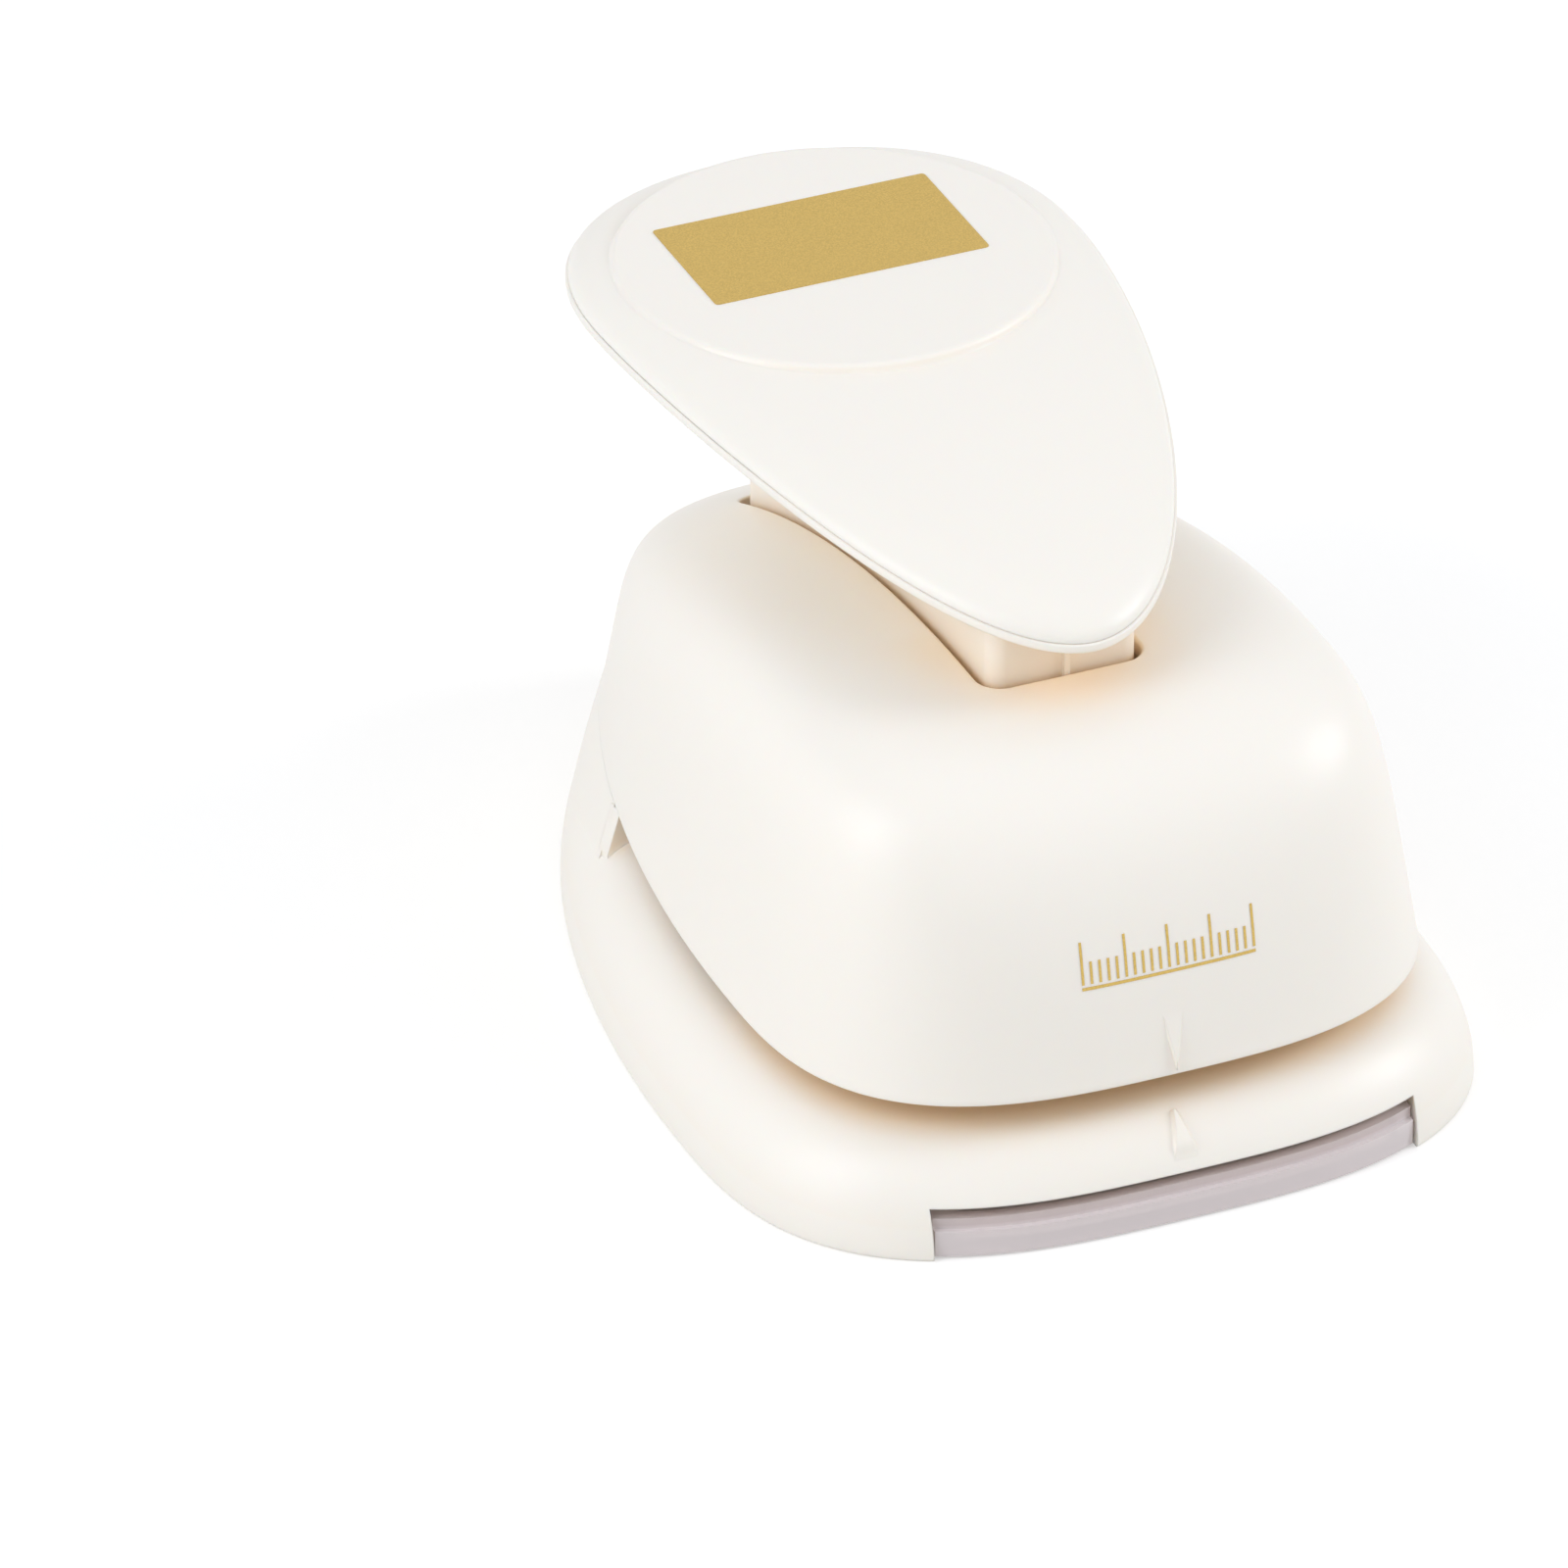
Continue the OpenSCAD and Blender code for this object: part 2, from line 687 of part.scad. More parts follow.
module die_plate_outline(z0, z1, grow) {
    shoulder = throat_end;
    translate([0, 0, z0]) linear_extrude(z1 - z0) polygon([
        [-plate_half_w - grow, plate_y0 - grow], [plate_half_w + grow, plate_y0 - grow],
        [plate_half_w + grow, shoulder], [plate_tail + grow, plate_y1 + grow],
        [-plate_tail - grow, plate_y1 + grow], [-plate_half_w - grow, shoulder]]);
}

module cut_hole(z0, z1) {
    half_w = cut_w / 2 + die_clear;
    half_d = cut_d / 2 + die_clear;
    block(-half_w, half_w, cut_y - half_d, cut_y + half_d, z0, z1);
}

module rivet_holes(z0, z1) {
    both_sides() upright(rivet_x, rivet_y, z0, z1, rivet_r + screw_clear);
}

module die_plate() {
    color(steel) difference() {
        die_plate_outline(die_z, table_z, 0);
        cut_hole(die_z - through, table_z + through);
        rivet_holes(die_z - through, table_z + through);
    }
}

module guide_plate() {
    color(steel) difference() {
        die_plate_outline(guide_z, guide_top, 0);
        cut_hole(guide_z - through, guide_top + through);
        rivet_holes(guide_z - through, guide_top + through);
        for (y = spring_places) both_sides()
            upright(spring_x, y, guide_z - through, guide_top + through, guide_r + pin_clear);
    }
}

module plate_spacer() {
    margin = 2;
    half_d = 6;
    color(steel) difference() {
        block(-plate_tail + margin, plate_tail - margin, rivet_y - half_d, rivet_y + half_d,
            table_z, guide_z);
        rivet_holes(table_z - through, guide_z + through);
    }
}

module plate_rivets() {
    color(dark_steel) both_sides() {
        upright(rivet_x, rivet_y, die_z, guide_top, rivet_r);
        upright(rivet_x, rivet_y, guide_top, guide_top + head_h, head_share * rivet_r);
    }
}

// Punch

module punch_block() {
    shear = 0.8;
    color(zinc) difference() {
        block(-cut_w / 2, cut_w / 2, cut_y - cut_d / 2, cut_y + cut_d / 2, edge_z, block_top);
        translate([0, cut_y + cut_d, edge_z]) rotate([90, 0, 0]) linear_extrude(2 * cut_d)
            polygon([[-cut_w / 2, -through], [cut_w / 2, -through], [cut_w / 2, 0], [0, shear],
                [-cut_w / 2, 0]]);
        both_sides() upright(head_screw_x, cut_y, block_top - head_screw_depth, block_top + through,
            small_screw_r + screw_clear);
    }
}

module punch_head() {
    wing_wall = 1.5;
    wing = spring_r + wire_d + wing_wall;
    color(zinc) difference() {
        union() {
            block(-cut_w / 2, cut_w / 2, cut_y - cut_d / 2, cut_y + cut_d / 2, block_top, head_top);
            for (y = spring_places) both_sides() {
                upright(spring_x, y, block_top, head_top, wing);
                block(spring_x - wing, spring_x + wing, min(y, cut_y), max(y, cut_y), block_top, head_top);
            }
            block(-post_half, post_half, press_y - post_half, press_y + post_half,
                head_top, wear_top - wear_t);
        }
        for (y = spring_places) both_sides()
            upright(spring_x, y, block_top - through, head_top + through, guide_r + pin_clear);
        both_sides() upright(head_screw_x, cut_y, block_top - through, head_top + through,
            small_screw_r + screw_clear);
    }
}

module wear_plate() {
    color(steel) block(-post_half, post_half, press_y - post_half, press_y + post_half,
        wear_top - wear_t, wear_top);
}

module head_screws() {
    color(dark_steel) both_sides() {
        upright(head_screw_x, cut_y, block_top - head_screw_depth + tip_room, head_top, small_screw_r);
        upright(head_screw_x, cut_y, head_top, head_top + head_h, head_share * small_screw_r);
    }
}

module guide_pins() {
    color(steel) for (y = spring_places) both_sides()
        upright(spring_x, y, guide_z, head_top + guide_over, guide_r);
}

// Coil spring as one tube swept along its helix
module return_spring(x, y) {
    rings = 8 * spring_turns;
    sides = 6;
    color(steel) translate([x, y, 0]) loft([for (k = [0:rings])
        let (turn = 45 * k)
        let (c = coil(turn, 0))
        let (out = [cos(turn), sin(turn), 0])
        [for (i = [0:sides - 1])
            let (a = -360 * i / sides)
            c + wire_d / 2 * (cos(a) * out + sin(a) * [0, 0, 1])]]);
}

// Screws and tray

module housing_screws() {
    color(steel) for (p = housing_screw_places) both_sides() {
        upright(p.x, p.y, cavity_z, lip_z + boss_h - 2 * tip_room, screw_r);
        upright(p.x, p.y, cavity_z - head_h, cavity_z, head_share * screw_r);
    }
}

// Plan of the tray, its front following the base's edge
module tray_plan(inset, half_w, back) {
    intersection() {
        polygon(ring(function(t) base_point(t, inset)));
        translate([-half_w, -2 * base_front]) square([2 * half_w, 2 * base_front + back]);
    }
}

module chip_tray() {
    floor_z = tray_clear;
    front_inset = 0.8;
    step_in = 0.8;
    step_h = 1.6;
    top_z = floor_z + tray_h;
    front_d = 12.5;
    front_back = widest_y - base_front + front_d;
    color(clear_plastic) difference() {
        union() {
            translate([0, 0, floor_z]) linear_extrude(tray_h)
                tray_plan(front_inset + step_in, tray_body_half, tray_back);
            translate([0, 0, floor_z]) linear_extrude(tray_h - step_h)
                tray_plan(front_inset, tray_half_w, front_back);
            translate([0, 0, floor_z]) linear_extrude(tray_h)
                tray_plan(front_inset + step_in, tray_half_w, front_back);
            translate([0, 0, top_z - tray_wall]) linear_extrude(tray_wall)
                tray_plan(front_inset + step_in, tray_half_w, tray_back);
        }
        translate([0, 0, floor_z + tray_wall]) linear_extrude(tray_h)
            tray_plan(front_inset + step_in + tray_wall, tray_body_half - tray_wall, tray_back - tray_wall);
    }
}

base_shell();
upper_housing();
throat_plate();
lever_body();
lever_cover();
foil_label();
lever_screws();
pivot_pin();
pin_clips();
press_pin();
die_plate();
guide_plate();
plate_spacer();
plate_rivets();
punch_block();
punch_head();
wear_plate();
head_screws();
guide_pins();
return_spring(-spring_x, spring_places[0]);  // spring_front_left
return_spring(spring_x, spring_places[0]);  // spring_front_right
return_spring(-spring_x, spring_places[1]);  // spring_rear_left
return_spring(spring_x, spring_places[1]);  // spring_rear_right
housing_screws();
chip_tray();
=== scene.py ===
"""Lever craft punch: shells, foil, tray, springs and fasteners on the CAD frame, and a white studio."""

import bmesh
import bpy
import numpy as np
from mathutils import Matrix, Vector


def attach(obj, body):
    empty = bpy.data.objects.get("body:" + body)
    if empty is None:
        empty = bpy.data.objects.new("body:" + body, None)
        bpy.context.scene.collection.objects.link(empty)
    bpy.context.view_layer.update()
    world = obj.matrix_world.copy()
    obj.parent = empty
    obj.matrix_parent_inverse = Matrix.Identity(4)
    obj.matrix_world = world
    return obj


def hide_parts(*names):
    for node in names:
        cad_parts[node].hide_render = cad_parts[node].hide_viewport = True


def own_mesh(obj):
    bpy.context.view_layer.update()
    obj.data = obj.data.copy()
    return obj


bl_info = {
    "name": "Lever craft punch",
    "version": (1, 0, 0),
    "blender": (4, 5, 0),
    "location": "View3D > Sidebar > Punch",
    "description": "Builds the visual pieces of a lever craft punch on its CAD frame",
    "category": "Object",
}

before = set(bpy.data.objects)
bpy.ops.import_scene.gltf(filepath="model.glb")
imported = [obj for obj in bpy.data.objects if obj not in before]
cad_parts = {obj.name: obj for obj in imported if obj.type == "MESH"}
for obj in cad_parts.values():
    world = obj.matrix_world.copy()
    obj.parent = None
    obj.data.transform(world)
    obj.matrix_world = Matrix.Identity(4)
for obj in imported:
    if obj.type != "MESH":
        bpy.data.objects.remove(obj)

# Lengths are in millimetres and become metres in solid().
MM = 0.001
AROUND = 480
SHARP_ANGLE = np.radians(32)

# Base, from the table up
BASE_HALF_W, BASE_FRONT, BASE_BACK, WIDEST_Y = 55.3, 48.0, 108.2, -30.5
FRONT_SQUARE, BACK_SQUARE = 2.95, 2.0
LIP_SIDE, LIP_FRONT, LIP_BACK, LIP_SQUARE = 7.7, 5.8, 0.6, 2.0
TABLE_Z, FLANGE_ROUND, WALL, CAVITY_Z, LIP_Z = 15.5, 12.0, 2.5, 11.5, 20.1
THROAT_END, WALL_CURVE, WEDGE_HALF = 20.9, 1.4, 1.9
CUTOUT_HALF_W, CUTOUT_Y0, CUTOUT_Y1, CUTOUT_H = 35.6, -96.0, -54.5, 7.35
CUT_W, CUT_D, DIE_Z, DIE_PLAY, DROP_ROOM = 57.0, 32.3, 13.5, 0.06, 2.0
PLATE_HALF_W, PLATE_Y0, PLATE_Y1, PLATE_TAIL = 36.5, -28.15, 40.15, 22.0

# Dome
CROWN_Y, CROWN_Z, RIDGE_R = -28.0, 62.8, 193.0
FULL = (7.5, 4.0, 6.8)
LEAN = (0.14, 0.15, 0.03)
OPEN_HALF_W, OPEN_Y0, OPEN_Y1, OPEN_R = 12.0, -36.7, 49.6, 3.5
PIVOT_Y, PIVOT_Z, PIVOT_R, PIN_PLAY = -27.5, 52.1, 2.5, 0.06
EAR_IN, EAR_OUT, EAR_R = 12.2, 15.2, 6.0
HOUSING_SCREWS, HOUSING_HOLE_R = ((33.0, 33.5), (15.0, 52.5)), 1.58
BOSS_R, BOSS_H = 3.2, 14.0

# Lever
LEVER_HALF_W, LEVER_FRONT, LEVER_BACK, LEVER_Y = 36.4, 86.0, 37.2, 40.5
LEVER_TIP_R, LEVER_SQUARE, LEVER_REAR_SQUARE = 8.2, 1.63, 2.26
RIM_Z, LEVER_R, LEVER_T, PLATE_T, FOOT = 82.0, 333.0, 4.6, 1.4, 1.45
PAD_R, PAD_Y, PAD_Z = 30.7, 41.5, 86.6
SKIRT_HALF_W, SKIRT_Y0, SKIRT_Y1, SKIRT_Z, SKIRT_WALL = 11.0, -35.7, 47.2, 43.1, 2.0
PRESS_Z, PRESS_R = 48.6, 3.0
LEVER_SCREWS, LEVER_HOLE_R = ((20.0, 18.5), (20.0, 58.5)), 1.18
FOIL_HALF_W, FOIL_Y0, FOIL_Y1, FOIL_R = 20.4, 35.0, 57.4, 0.6

# Tray
TRAY_HALF_W, TRAY_BODY, TRAY_BACK, TRAY_FLOOR, TRAY_H, TRAY_WALL = 35.2, 33.0, 22.5, 0.4, 5.4, 1.6

# Springs and fasteners
SPRING_X, SPRING_Y, SPRING_R, WIRE = 21.0, 21.0, 3.0, 0.9
GUIDE_TOP, BLOCK_TOP, HEAD_TOP = 19.1, 32.2, 36.2
SPRINGS = ("spring_front_left", "spring_front_right", "spring_rear_left", "spring_rear_right")
HEAD_SCREW_X, RIVET_X, RIVET_Y = 18.0, 14.0, 31.15

# Colour and least and greatest roughness of each metal, and how its fine lines are stretched
METALS = {
    "plate_steel": ((0.55, 0.56, 0.58), 0.28, 0.45, (0.1, 3, 3)),
    "pin_steel": ((0.62, 0.63, 0.65), 0.18, 0.3),
    "zinc": ((0.42, 0.43, 0.45), 0.45, 0.6),
    "spring_steel": ((0.45, 0.46, 0.48), 0.22, 0.36),
    "screw_steel": ((0.5, 0.5, 0.52), 0.25, 0.4),
}
GRAIN_DEPTH = 0.0001

# Lights: colour, then place and size in metres, and power
LIGHT = (0.9, 0.93, 1.0)
LAMPS = {
    "key": ((-0.75, -0.2, 0.65), 0.5, 2.3),
    "right": ((0.8, -0.3, 0.5), 0.35, 3.15),
    "front": ((-0.25, -0.95, 0.4), 0.3, 0.4),
    "left": ((-0.95, -0.05, 0.4), 0.5, 1.55),
}


# Outlines

def egg(t, half_w, front, back, square_front, square_back):
    """Egg-shaped plan: half width, reach forward and back, squareness of each end."""
    c, s = np.cos(t), np.sin(t)
    square = np.where(s < 0, square_front, square_back)
    reach = np.where(s < 0, front, back)
    return np.stack([np.sign(c) * half_w * np.abs(c) ** (2 / square),
                     np.sign(s) * reach * np.abs(s) ** (2 / square)], -1)


def base_point(t, inset):
    """Outline of the base drawn in by a distance."""
    return egg(t, BASE_HALF_W - inset, BASE_FRONT - inset, BASE_BACK - inset,
               FRONT_SQUARE, BACK_SQUARE) + [0, WIDEST_Y]


def lip_point(t, inset):
    """Outline of the dome's lower edge drawn in by a distance."""
    return egg(t, BASE_HALF_W - LIP_SIDE - inset, BASE_FRONT - LIP_FRONT - inset,
               BASE_BACK - LIP_BACK - inset, FRONT_SQUARE, LIP_SQUARE) + [0, WIDEST_Y]


def lever_point(t, inset):
    """An egg that is grown all round by the radius of the lever's tip."""
    c, s = np.cos(t), np.sin(t)
    half_w, front, back = np.array([LEVER_HALF_W, LEVER_FRONT, LEVER_BACK]) - LEVER_TIP_R
    power = 2 - 2 / np.where(s < 0, LEVER_SQUARE, LEVER_REAR_SQUARE)
    outward = np.stack([np.sign(c) * np.abs(c) ** power / half_w,
                        np.sign(s) * np.abs(s) ** power / np.where(s < 0, front, back)], -1)
    outward /= np.linalg.norm(outward, axis=-1, keepdims=True)
    plan = egg(t, half_w, front, back, LEVER_SQUARE, LEVER_REAR_SQUARE)
    return plan + (LEVER_TIP_R - inset) * outward + [0, LEVER_Y]


def even(outline, count):
    """Angles that space the points of an outline evenly, quarter by quarter."""
    angles = []
    for quarter in range(4):
        fine = np.pi / 2 * (quarter + np.linspace(0, 1, 4001))
        fine[1:-1] = np.pi / 2 * (quarter + 0.5 - 0.5 * np.cos(np.pi * np.linspace(0, 1, 4001)[1:-1]))
        points = outline(fine, 0)
        run = np.concatenate([[0], np.cumsum(np.linalg.norm(np.diff(points, axis=0), axis=1))])
        angles.append(np.interp(np.linspace(0, run[-1], count // 4 + 1)[:-1], run, fine))
    return np.concatenate(angles)


def raised(plan, z):
    """Plan points at a height, one height or one for each."""
    return np.column_stack([plan, np.broadcast_to(z, len(plan))])


def ease(part):
    """Smooth step from 0 to 1."""
    part = np.clip(part, 0, 1)
    return part ** 2 * (3 - 2 * part)


def rounding(r, count=5):
    """Pairs of inset and rise round an edge, from its face to its side."""
    return [(r * (1 - np.sin(a)), r * (1 - np.cos(a))) for a in np.radians(np.linspace(0, 90, count))]


def flange_inset(z):
    """How far the base's flange draws in at a height."""
    return FLANGE_ROUND * (1 - np.sqrt(1 - np.minimum(z / TABLE_Z, 1) ** 2))


def rim(y):
    """Height of the lever's lower rim."""
    return RIM_Z - LEVER_R + np.sqrt(LEVER_R ** 2 - (y - LEVER_Y) ** 2)


def rounded_box(x0, x1, y0, y1, r, corner=12):
    """Outline of a rectangle with round corners, anticlockwise."""
    points = []
    corners = ((x1 - r, y1 - r, 0), (x0 + r, y1 - r, 90), (x0 + r, y0 + r, 180), (x1 - r, y0 + r, 270))
    for cx, cy, start in corners:
        a = np.radians(start + np.linspace(0, 90, corner))
        points.append(np.stack([cx + r * np.cos(a), cy + r * np.sin(a)], -1))
    return np.concatenate(points)


# Dome surface

def turned(t, values):
    """Value that changes smoothly from the sides to the front or the back of the plan."""
    side, front, back = values
    return side + (np.where(np.sin(t) < 0, front, back) - side) * np.sin(t) ** 2


def share(t, w):
    """Share of the way out from the crown, and of the way up, at a place w along a meridian."""
    full = turned(t, FULL)
    half = 0.5 ** (1 / full)
    low = np.minimum(w, 0.5) * 2 * half
    out = np.clip(2 - 2 * np.maximum(w, 0.5), 0, 1) * half
    up = np.where(w <= 0.5, low, (1 - out ** full) ** (1 / full))
    part = np.where(w <= 0.5, (1 - low ** full) ** (1 / full), out)
    return part * (1 - up * turned(t, LEAN)), up


def dome(t, w, inset):
    """Point of the dome drawn in by a distance."""
    part, up = share(t, w)
    plan = part[:, None] * lip_point(t, inset) + (1 - part)[:, None] * np.array([0, CROWN_Y])
    top = CROWN_Z - inset - np.maximum(0, plan[:, 1] - CROWN_Y) ** 2 / (2 * RIDGE_R)
    return np.column_stack([plan, LIP_Z + (top - LIP_Z) * up])


def place_for(t, part):
    """Place along each meridian that lies a given share of the way out."""
    low, high = np.zeros_like(t), np.ones_like(t)
    for _ in range(50):
        middle = (low + high) / 2
        outside = share(t, middle)[0] > part
        low, high = np.where(outside, middle, low), np.where(outside, high, middle)
    return (low + high) / 2


def opening_share(t, grow, inset):
    """Share of the way out at which each meridian meets the opening's outline grown by a distance."""
    ray = lip_point(t, inset) - [0, CROWN_Y]
    half_w = OPEN_HALF_W + grow
    outline = rounded_box(-half_w, half_w, OPEN_Y0 - grow, OPEN_Y1 + grow, OPEN_R + grow, 40) - [0, CROWN_Y]
    angle = np.unwrap(np.arctan2(outline[:, 1], outline[:, 0]))
    want = np.arctan2(ray[:, 1], ray[:, 0])
    want = angle[0] + np.mod(want - angle[0], 2 * np.pi)
    closed = np.concatenate([outline, outline[:1]])
    angle = np.append(angle, angle[0] + 2 * np.pi)
    k = np.clip(np.searchsorted(angle, want, side="right") - 1, 0, len(outline) - 1)
    a, b = closed[k], closed[k + 1]
    side = b - a
    return (a[:, 0] * side[:, 1] - a[:, 1] * side[:, 0]) / (ray[:, 0] * side[:, 1] - ray[:, 1] * side[:, 0])


# Meshes

def put(thing, **settings):
    """Give a thing of Blender its settings."""
    for key, value in settings.items():
        setattr(thing, key, value)
    return thing


def solid(name, points, faces):
    """Mesh object from points in millimetres, with its faces turned outward."""
    mesh = bpy.data.meshes.new(name)
    mesh.from_pydata((np.asarray(points) * MM).tolist(), [], faces)
    obj = bpy.data.objects.new(name, mesh)
    bpy.context.scene.collection.objects.link(obj)
    clean(obj)
    return obj


def clean(obj):
    """Merge double points, drop faces that lie back to back, and turn the rest outward."""
    bm = bmesh.new()
    bm.from_mesh(obj.data)
    bmesh.ops.remove_doubles(bm, verts=bm.verts, dist=2e-7)
    bmesh.ops.dissolve_degenerate(bm, edges=bm.edges, dist=1e-7)
    twins = {}
    for face in bm.faces:
        twins.setdefault(frozenset(face.verts), []).append(face)
    stray = [face for group in twins.values() if len(group) > 1 for face in group]
    bmesh.ops.delete(bm, geom=stray, context="FACES")
    bmesh.ops.recalc_face_normals(bm, faces=bm.faces)
    bm.to_mesh(obj.data)
    bm.free()


def shell(name, rings, loop=False):
    """Surface through rings of points: closed on itself, or capped at both ends."""
    rings = np.array(rings)
    count, n = rings.shape[:2]
    index = np.arange(count * n).reshape(count, n)
    rows = np.vstack([index, index[:1]]) if loop else index
    low, high = rows[:-1], rows[1:]
    quads = np.stack([low, np.roll(low, -1, 1), np.roll(high, -1, 1), high], -1).reshape(-1, 4)
    points, faces = rings.reshape(-1, 3), quads.tolist()
    if not loop:
        points = np.vstack([points, rings[0].mean(0), rings[-1].mean(0)])
        foot, cap = count * n, count * n + 1
        faces += np.stack([np.full(n, foot), np.roll(index[0], -1), index[0]], -1).tolist()
        faces += np.stack([np.full(n, cap), index[-1], np.roll(index[-1], -1)], -1).tolist()
    return solid(name, points, faces)


def prism(name, plan, start, stop, axis=2):
    """Plan drawn out along an axis."""
    return shell(name, [np.insert(np.asarray(plan, float), axis, at, 1) for at in (start, stop)])


def box(name, x0, x1, y0, y1, z0, z1):
    return prism(name, np.array([[x1, y0], [x1, y1], [x0, y1], [x0, y0]]), z0, z1)


def circle(x, y, r, count=48):
    a = 2 * np.pi * np.arange(count) / count
    return np.stack([x + r * np.cos(a), y + r * np.sin(a)], -1)


def upright(name, x, y, r, z0, z1):
    return prism(name, circle(x, y, r), z0, z1)


def cross_bar(name, y, z, r, x0, x1):
    """Round bar from side to side."""
    return prism(name, circle(y, z, r, 64), x0, x1, 0)


def drop(obj):
    """Remove an object and its mesh."""
    mesh = obj.data
    bpy.data.objects.remove(obj)
    bpy.data.meshes.remove(mesh)


def settle(obj):
    """Turn an object with its modifiers into a plain mesh."""
    bpy.context.view_layer.update()
    graph = bpy.context.evaluated_depsgraph_get()
    mesh = bpy.data.meshes.new_from_object(obj.evaluated_get(graph))
    old = obj.data
    obj.modifiers.clear()
    obj.data = mesh
    bpy.data.meshes.remove(old)
    mesh.name = obj.name
    return obj


def surface(mesh):
    """Area of a mesh."""
    areas = np.zeros(len(mesh.polygons), np.float32)
    mesh.polygons.foreach_get("area", areas)
    return float(areas.sum(dtype=float))


def combine(obj, how, *others):
    """Add, cut or keep the common part of solids, one after the other."""
    for other in others:
        before = surface(obj.data)
        put(obj.modifiers.new("step", "BOOLEAN"), operation=how, solver="MANIFOLD", object=other)
        settle(obj)
        if abs(surface(obj.data) - before) < 1e-9 or not obj.data.polygons:
            raise RuntimeError(f"{obj.name}: {how.lower()} with {other.name} changed nothing")
        drop(other)
    return obj


def both(make):
    """A shape on the right and its mirror image on the left."""
    return [make(1), make(-1)]


def at_screws(places, make):
    """A shape at each screw's place, right and left."""
    return [make(s * x, y) for x, y in places for s in (1, -1)]


def finish_piece(obj, body, slot, *nodes):
    """Smooth the faces, keep the edges, give the piece its material and tie it to its body."""
    clean(obj)
    obj.data.shade_smooth()
    obj.data.set_sharp_from_angle(angle=SHARP_ANGLE)
    obj.data.materials.clear()
    obj.data.materials.append(finish(slot))
    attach(obj, body)
    if nodes:
        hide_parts(*nodes)


# Nodes

def feed(tree, inputs, values):
    """Set inputs by name or number. A node, or an output of one, is linked as a value."""
    for key, value in values.items():
        if isinstance(value, bpy.types.Node):
            value = value.outputs[0]
        if isinstance(value, bpy.types.NodeSocket):
            tree.links.new(value, inputs[key])
        else:
            inputs[key].default_value = value


def add_node(tree, kind, values=None, **settings):
    """Node with settings and input values."""
    node = put(tree.nodes.new(kind), **settings)
    feed(tree, node.inputs, values or {})
    return node


def reckon(tree, how, *values, **settings):
    """Math node on the values."""
    return add_node(tree, "ShaderNodeMath", dict(enumerate(values)), operation=how, **settings)


def spread(tree, value, start, stop, low, high, **settings):
    """Value brought from one range into another."""
    return add_node(tree, "ShaderNodeMapRange", {
        "Value": value, "From Min": start, "From Max": stop, "To Min": low, "To Max": high}, **settings)


# Materials

def finish(slot):
    """Material of a slot, made when it is first asked for."""
    name = "look_" + slot
    if name not in bpy.data.materials:
        material = put(bpy.data.materials.new(name), use_nodes=True)
        tree = material.node_tree
        if slot in METALS:
            values = metal(tree, *METALS[slot])
        else:
            make = {"ivory_plastic": ivory, "gold_foil": foil, "clear_plastic": clear, "floor": pale_floor}
            values = make[slot](tree)
        feed(tree, tree.nodes["Principled BSDF"].inputs, values)
    return bpy.data.materials[name]


def place_of(tree):
    """Place in the object's own coordinates."""
    return add_node(tree, "ShaderNodeTexCoord").outputs["Object"]


def height_of(tree):
    """Height above the table."""
    return add_node(tree, "ShaderNodeSeparateXYZ", {"Vector": place_of(tree)}).outputs["Z"]


def speckle(tree, scale, detail, stretch=(1, 1, 1)):
    """Noise, stretched along the axes."""
    turn = add_node(tree, "ShaderNodeMapping", {"Vector": place_of(tree), "Scale": stretch})
    return add_node(tree, "ShaderNodeTexNoise", {"Vector": turn, "Scale": scale, "Detail": detail})


def bump(tree, height, strength, **more):
    """Fine relief of the surface."""
    return add_node(tree, "ShaderNodeBump", {
        "Height": height, "Strength": strength, "Distance": GRAIN_DEPTH, **more})


def blend(tree, value, limits, colours):
    """Pass from one colour to another as a value goes from limit to limit."""
    mix = add_node(tree, "ShaderNodeMix", {"Factor": spread(tree, value, *limits, 0, 1)}, data_type="RGBA")
    for key, colour in zip("AB", colours):
        next(s for s in mix.inputs if s.name == key and s.type == "RGBA").default_value = (*colour, 1)
    return next(s for s in mix.outputs if s.type == "RGBA")


def ivory(tree):
    """Moulded plastic with fine grain, with a painted warm shade deep in gaps and under the lever, but not at small
    steps or near the table.
    """
    look = bpy.context.scene.punch_look
    # Painted shade: occlusion at two reaches finds the gaps, and there the body colour passes into a warmer, darker
    # colour.
    far, near = (add_node(tree, "ShaderNodeAmbientOcclusion", {"Distance": reach}, samples=4).outputs["AO"]
                 for reach in (look.painted_shade_reach, look.step_reach))
    clear_of_steps = reckon(tree, "DIVIDE", far, near, use_clamp=True)
    openness = reckon(tree, "MAXIMUM", clear_of_steps, spread(tree, height_of(tree), 0.012, 0.003, 0, 0.95))
    edge = add_node(tree, "ShaderNodeBevel", {"Radius": look.edge_soft}, samples=6)
    return {
        "Base Color": blend(tree, openness, (0.8, 0.2), (look.body_colour, look.painted_shade_colour)),
        "Subsurface Weight": look.glow,
        "Subsurface Radius": (1.0, 0.5, 0.22),
        "Subsurface Scale": look.glow_depth,
        "IOR": 1.5,
        "Roughness": spread(tree, speckle(tree, 260, 2), 0, 1, 0.36, 0.44),
        "Normal": bump(tree, speckle(tree, 2600, 1), 0.05, Normal=edge),
    }


def foil(tree):
    """Grained gold foil."""
    gold = np.array(bpy.context.scene.punch_look.gold_colour)
    return {
        "Base Color": blend(tree, speckle(tree, 4500, 2), (0.35, 0.65), (0.9 * gold, 1.1 * gold)),
        "Metallic": 1,
        "Roughness": spread(tree, speckle(tree, 900, 3), 0, 1, 0.36, 0.5),
        "Normal": bump(tree, speckle(tree, 1500, 2), 0.25),
    }


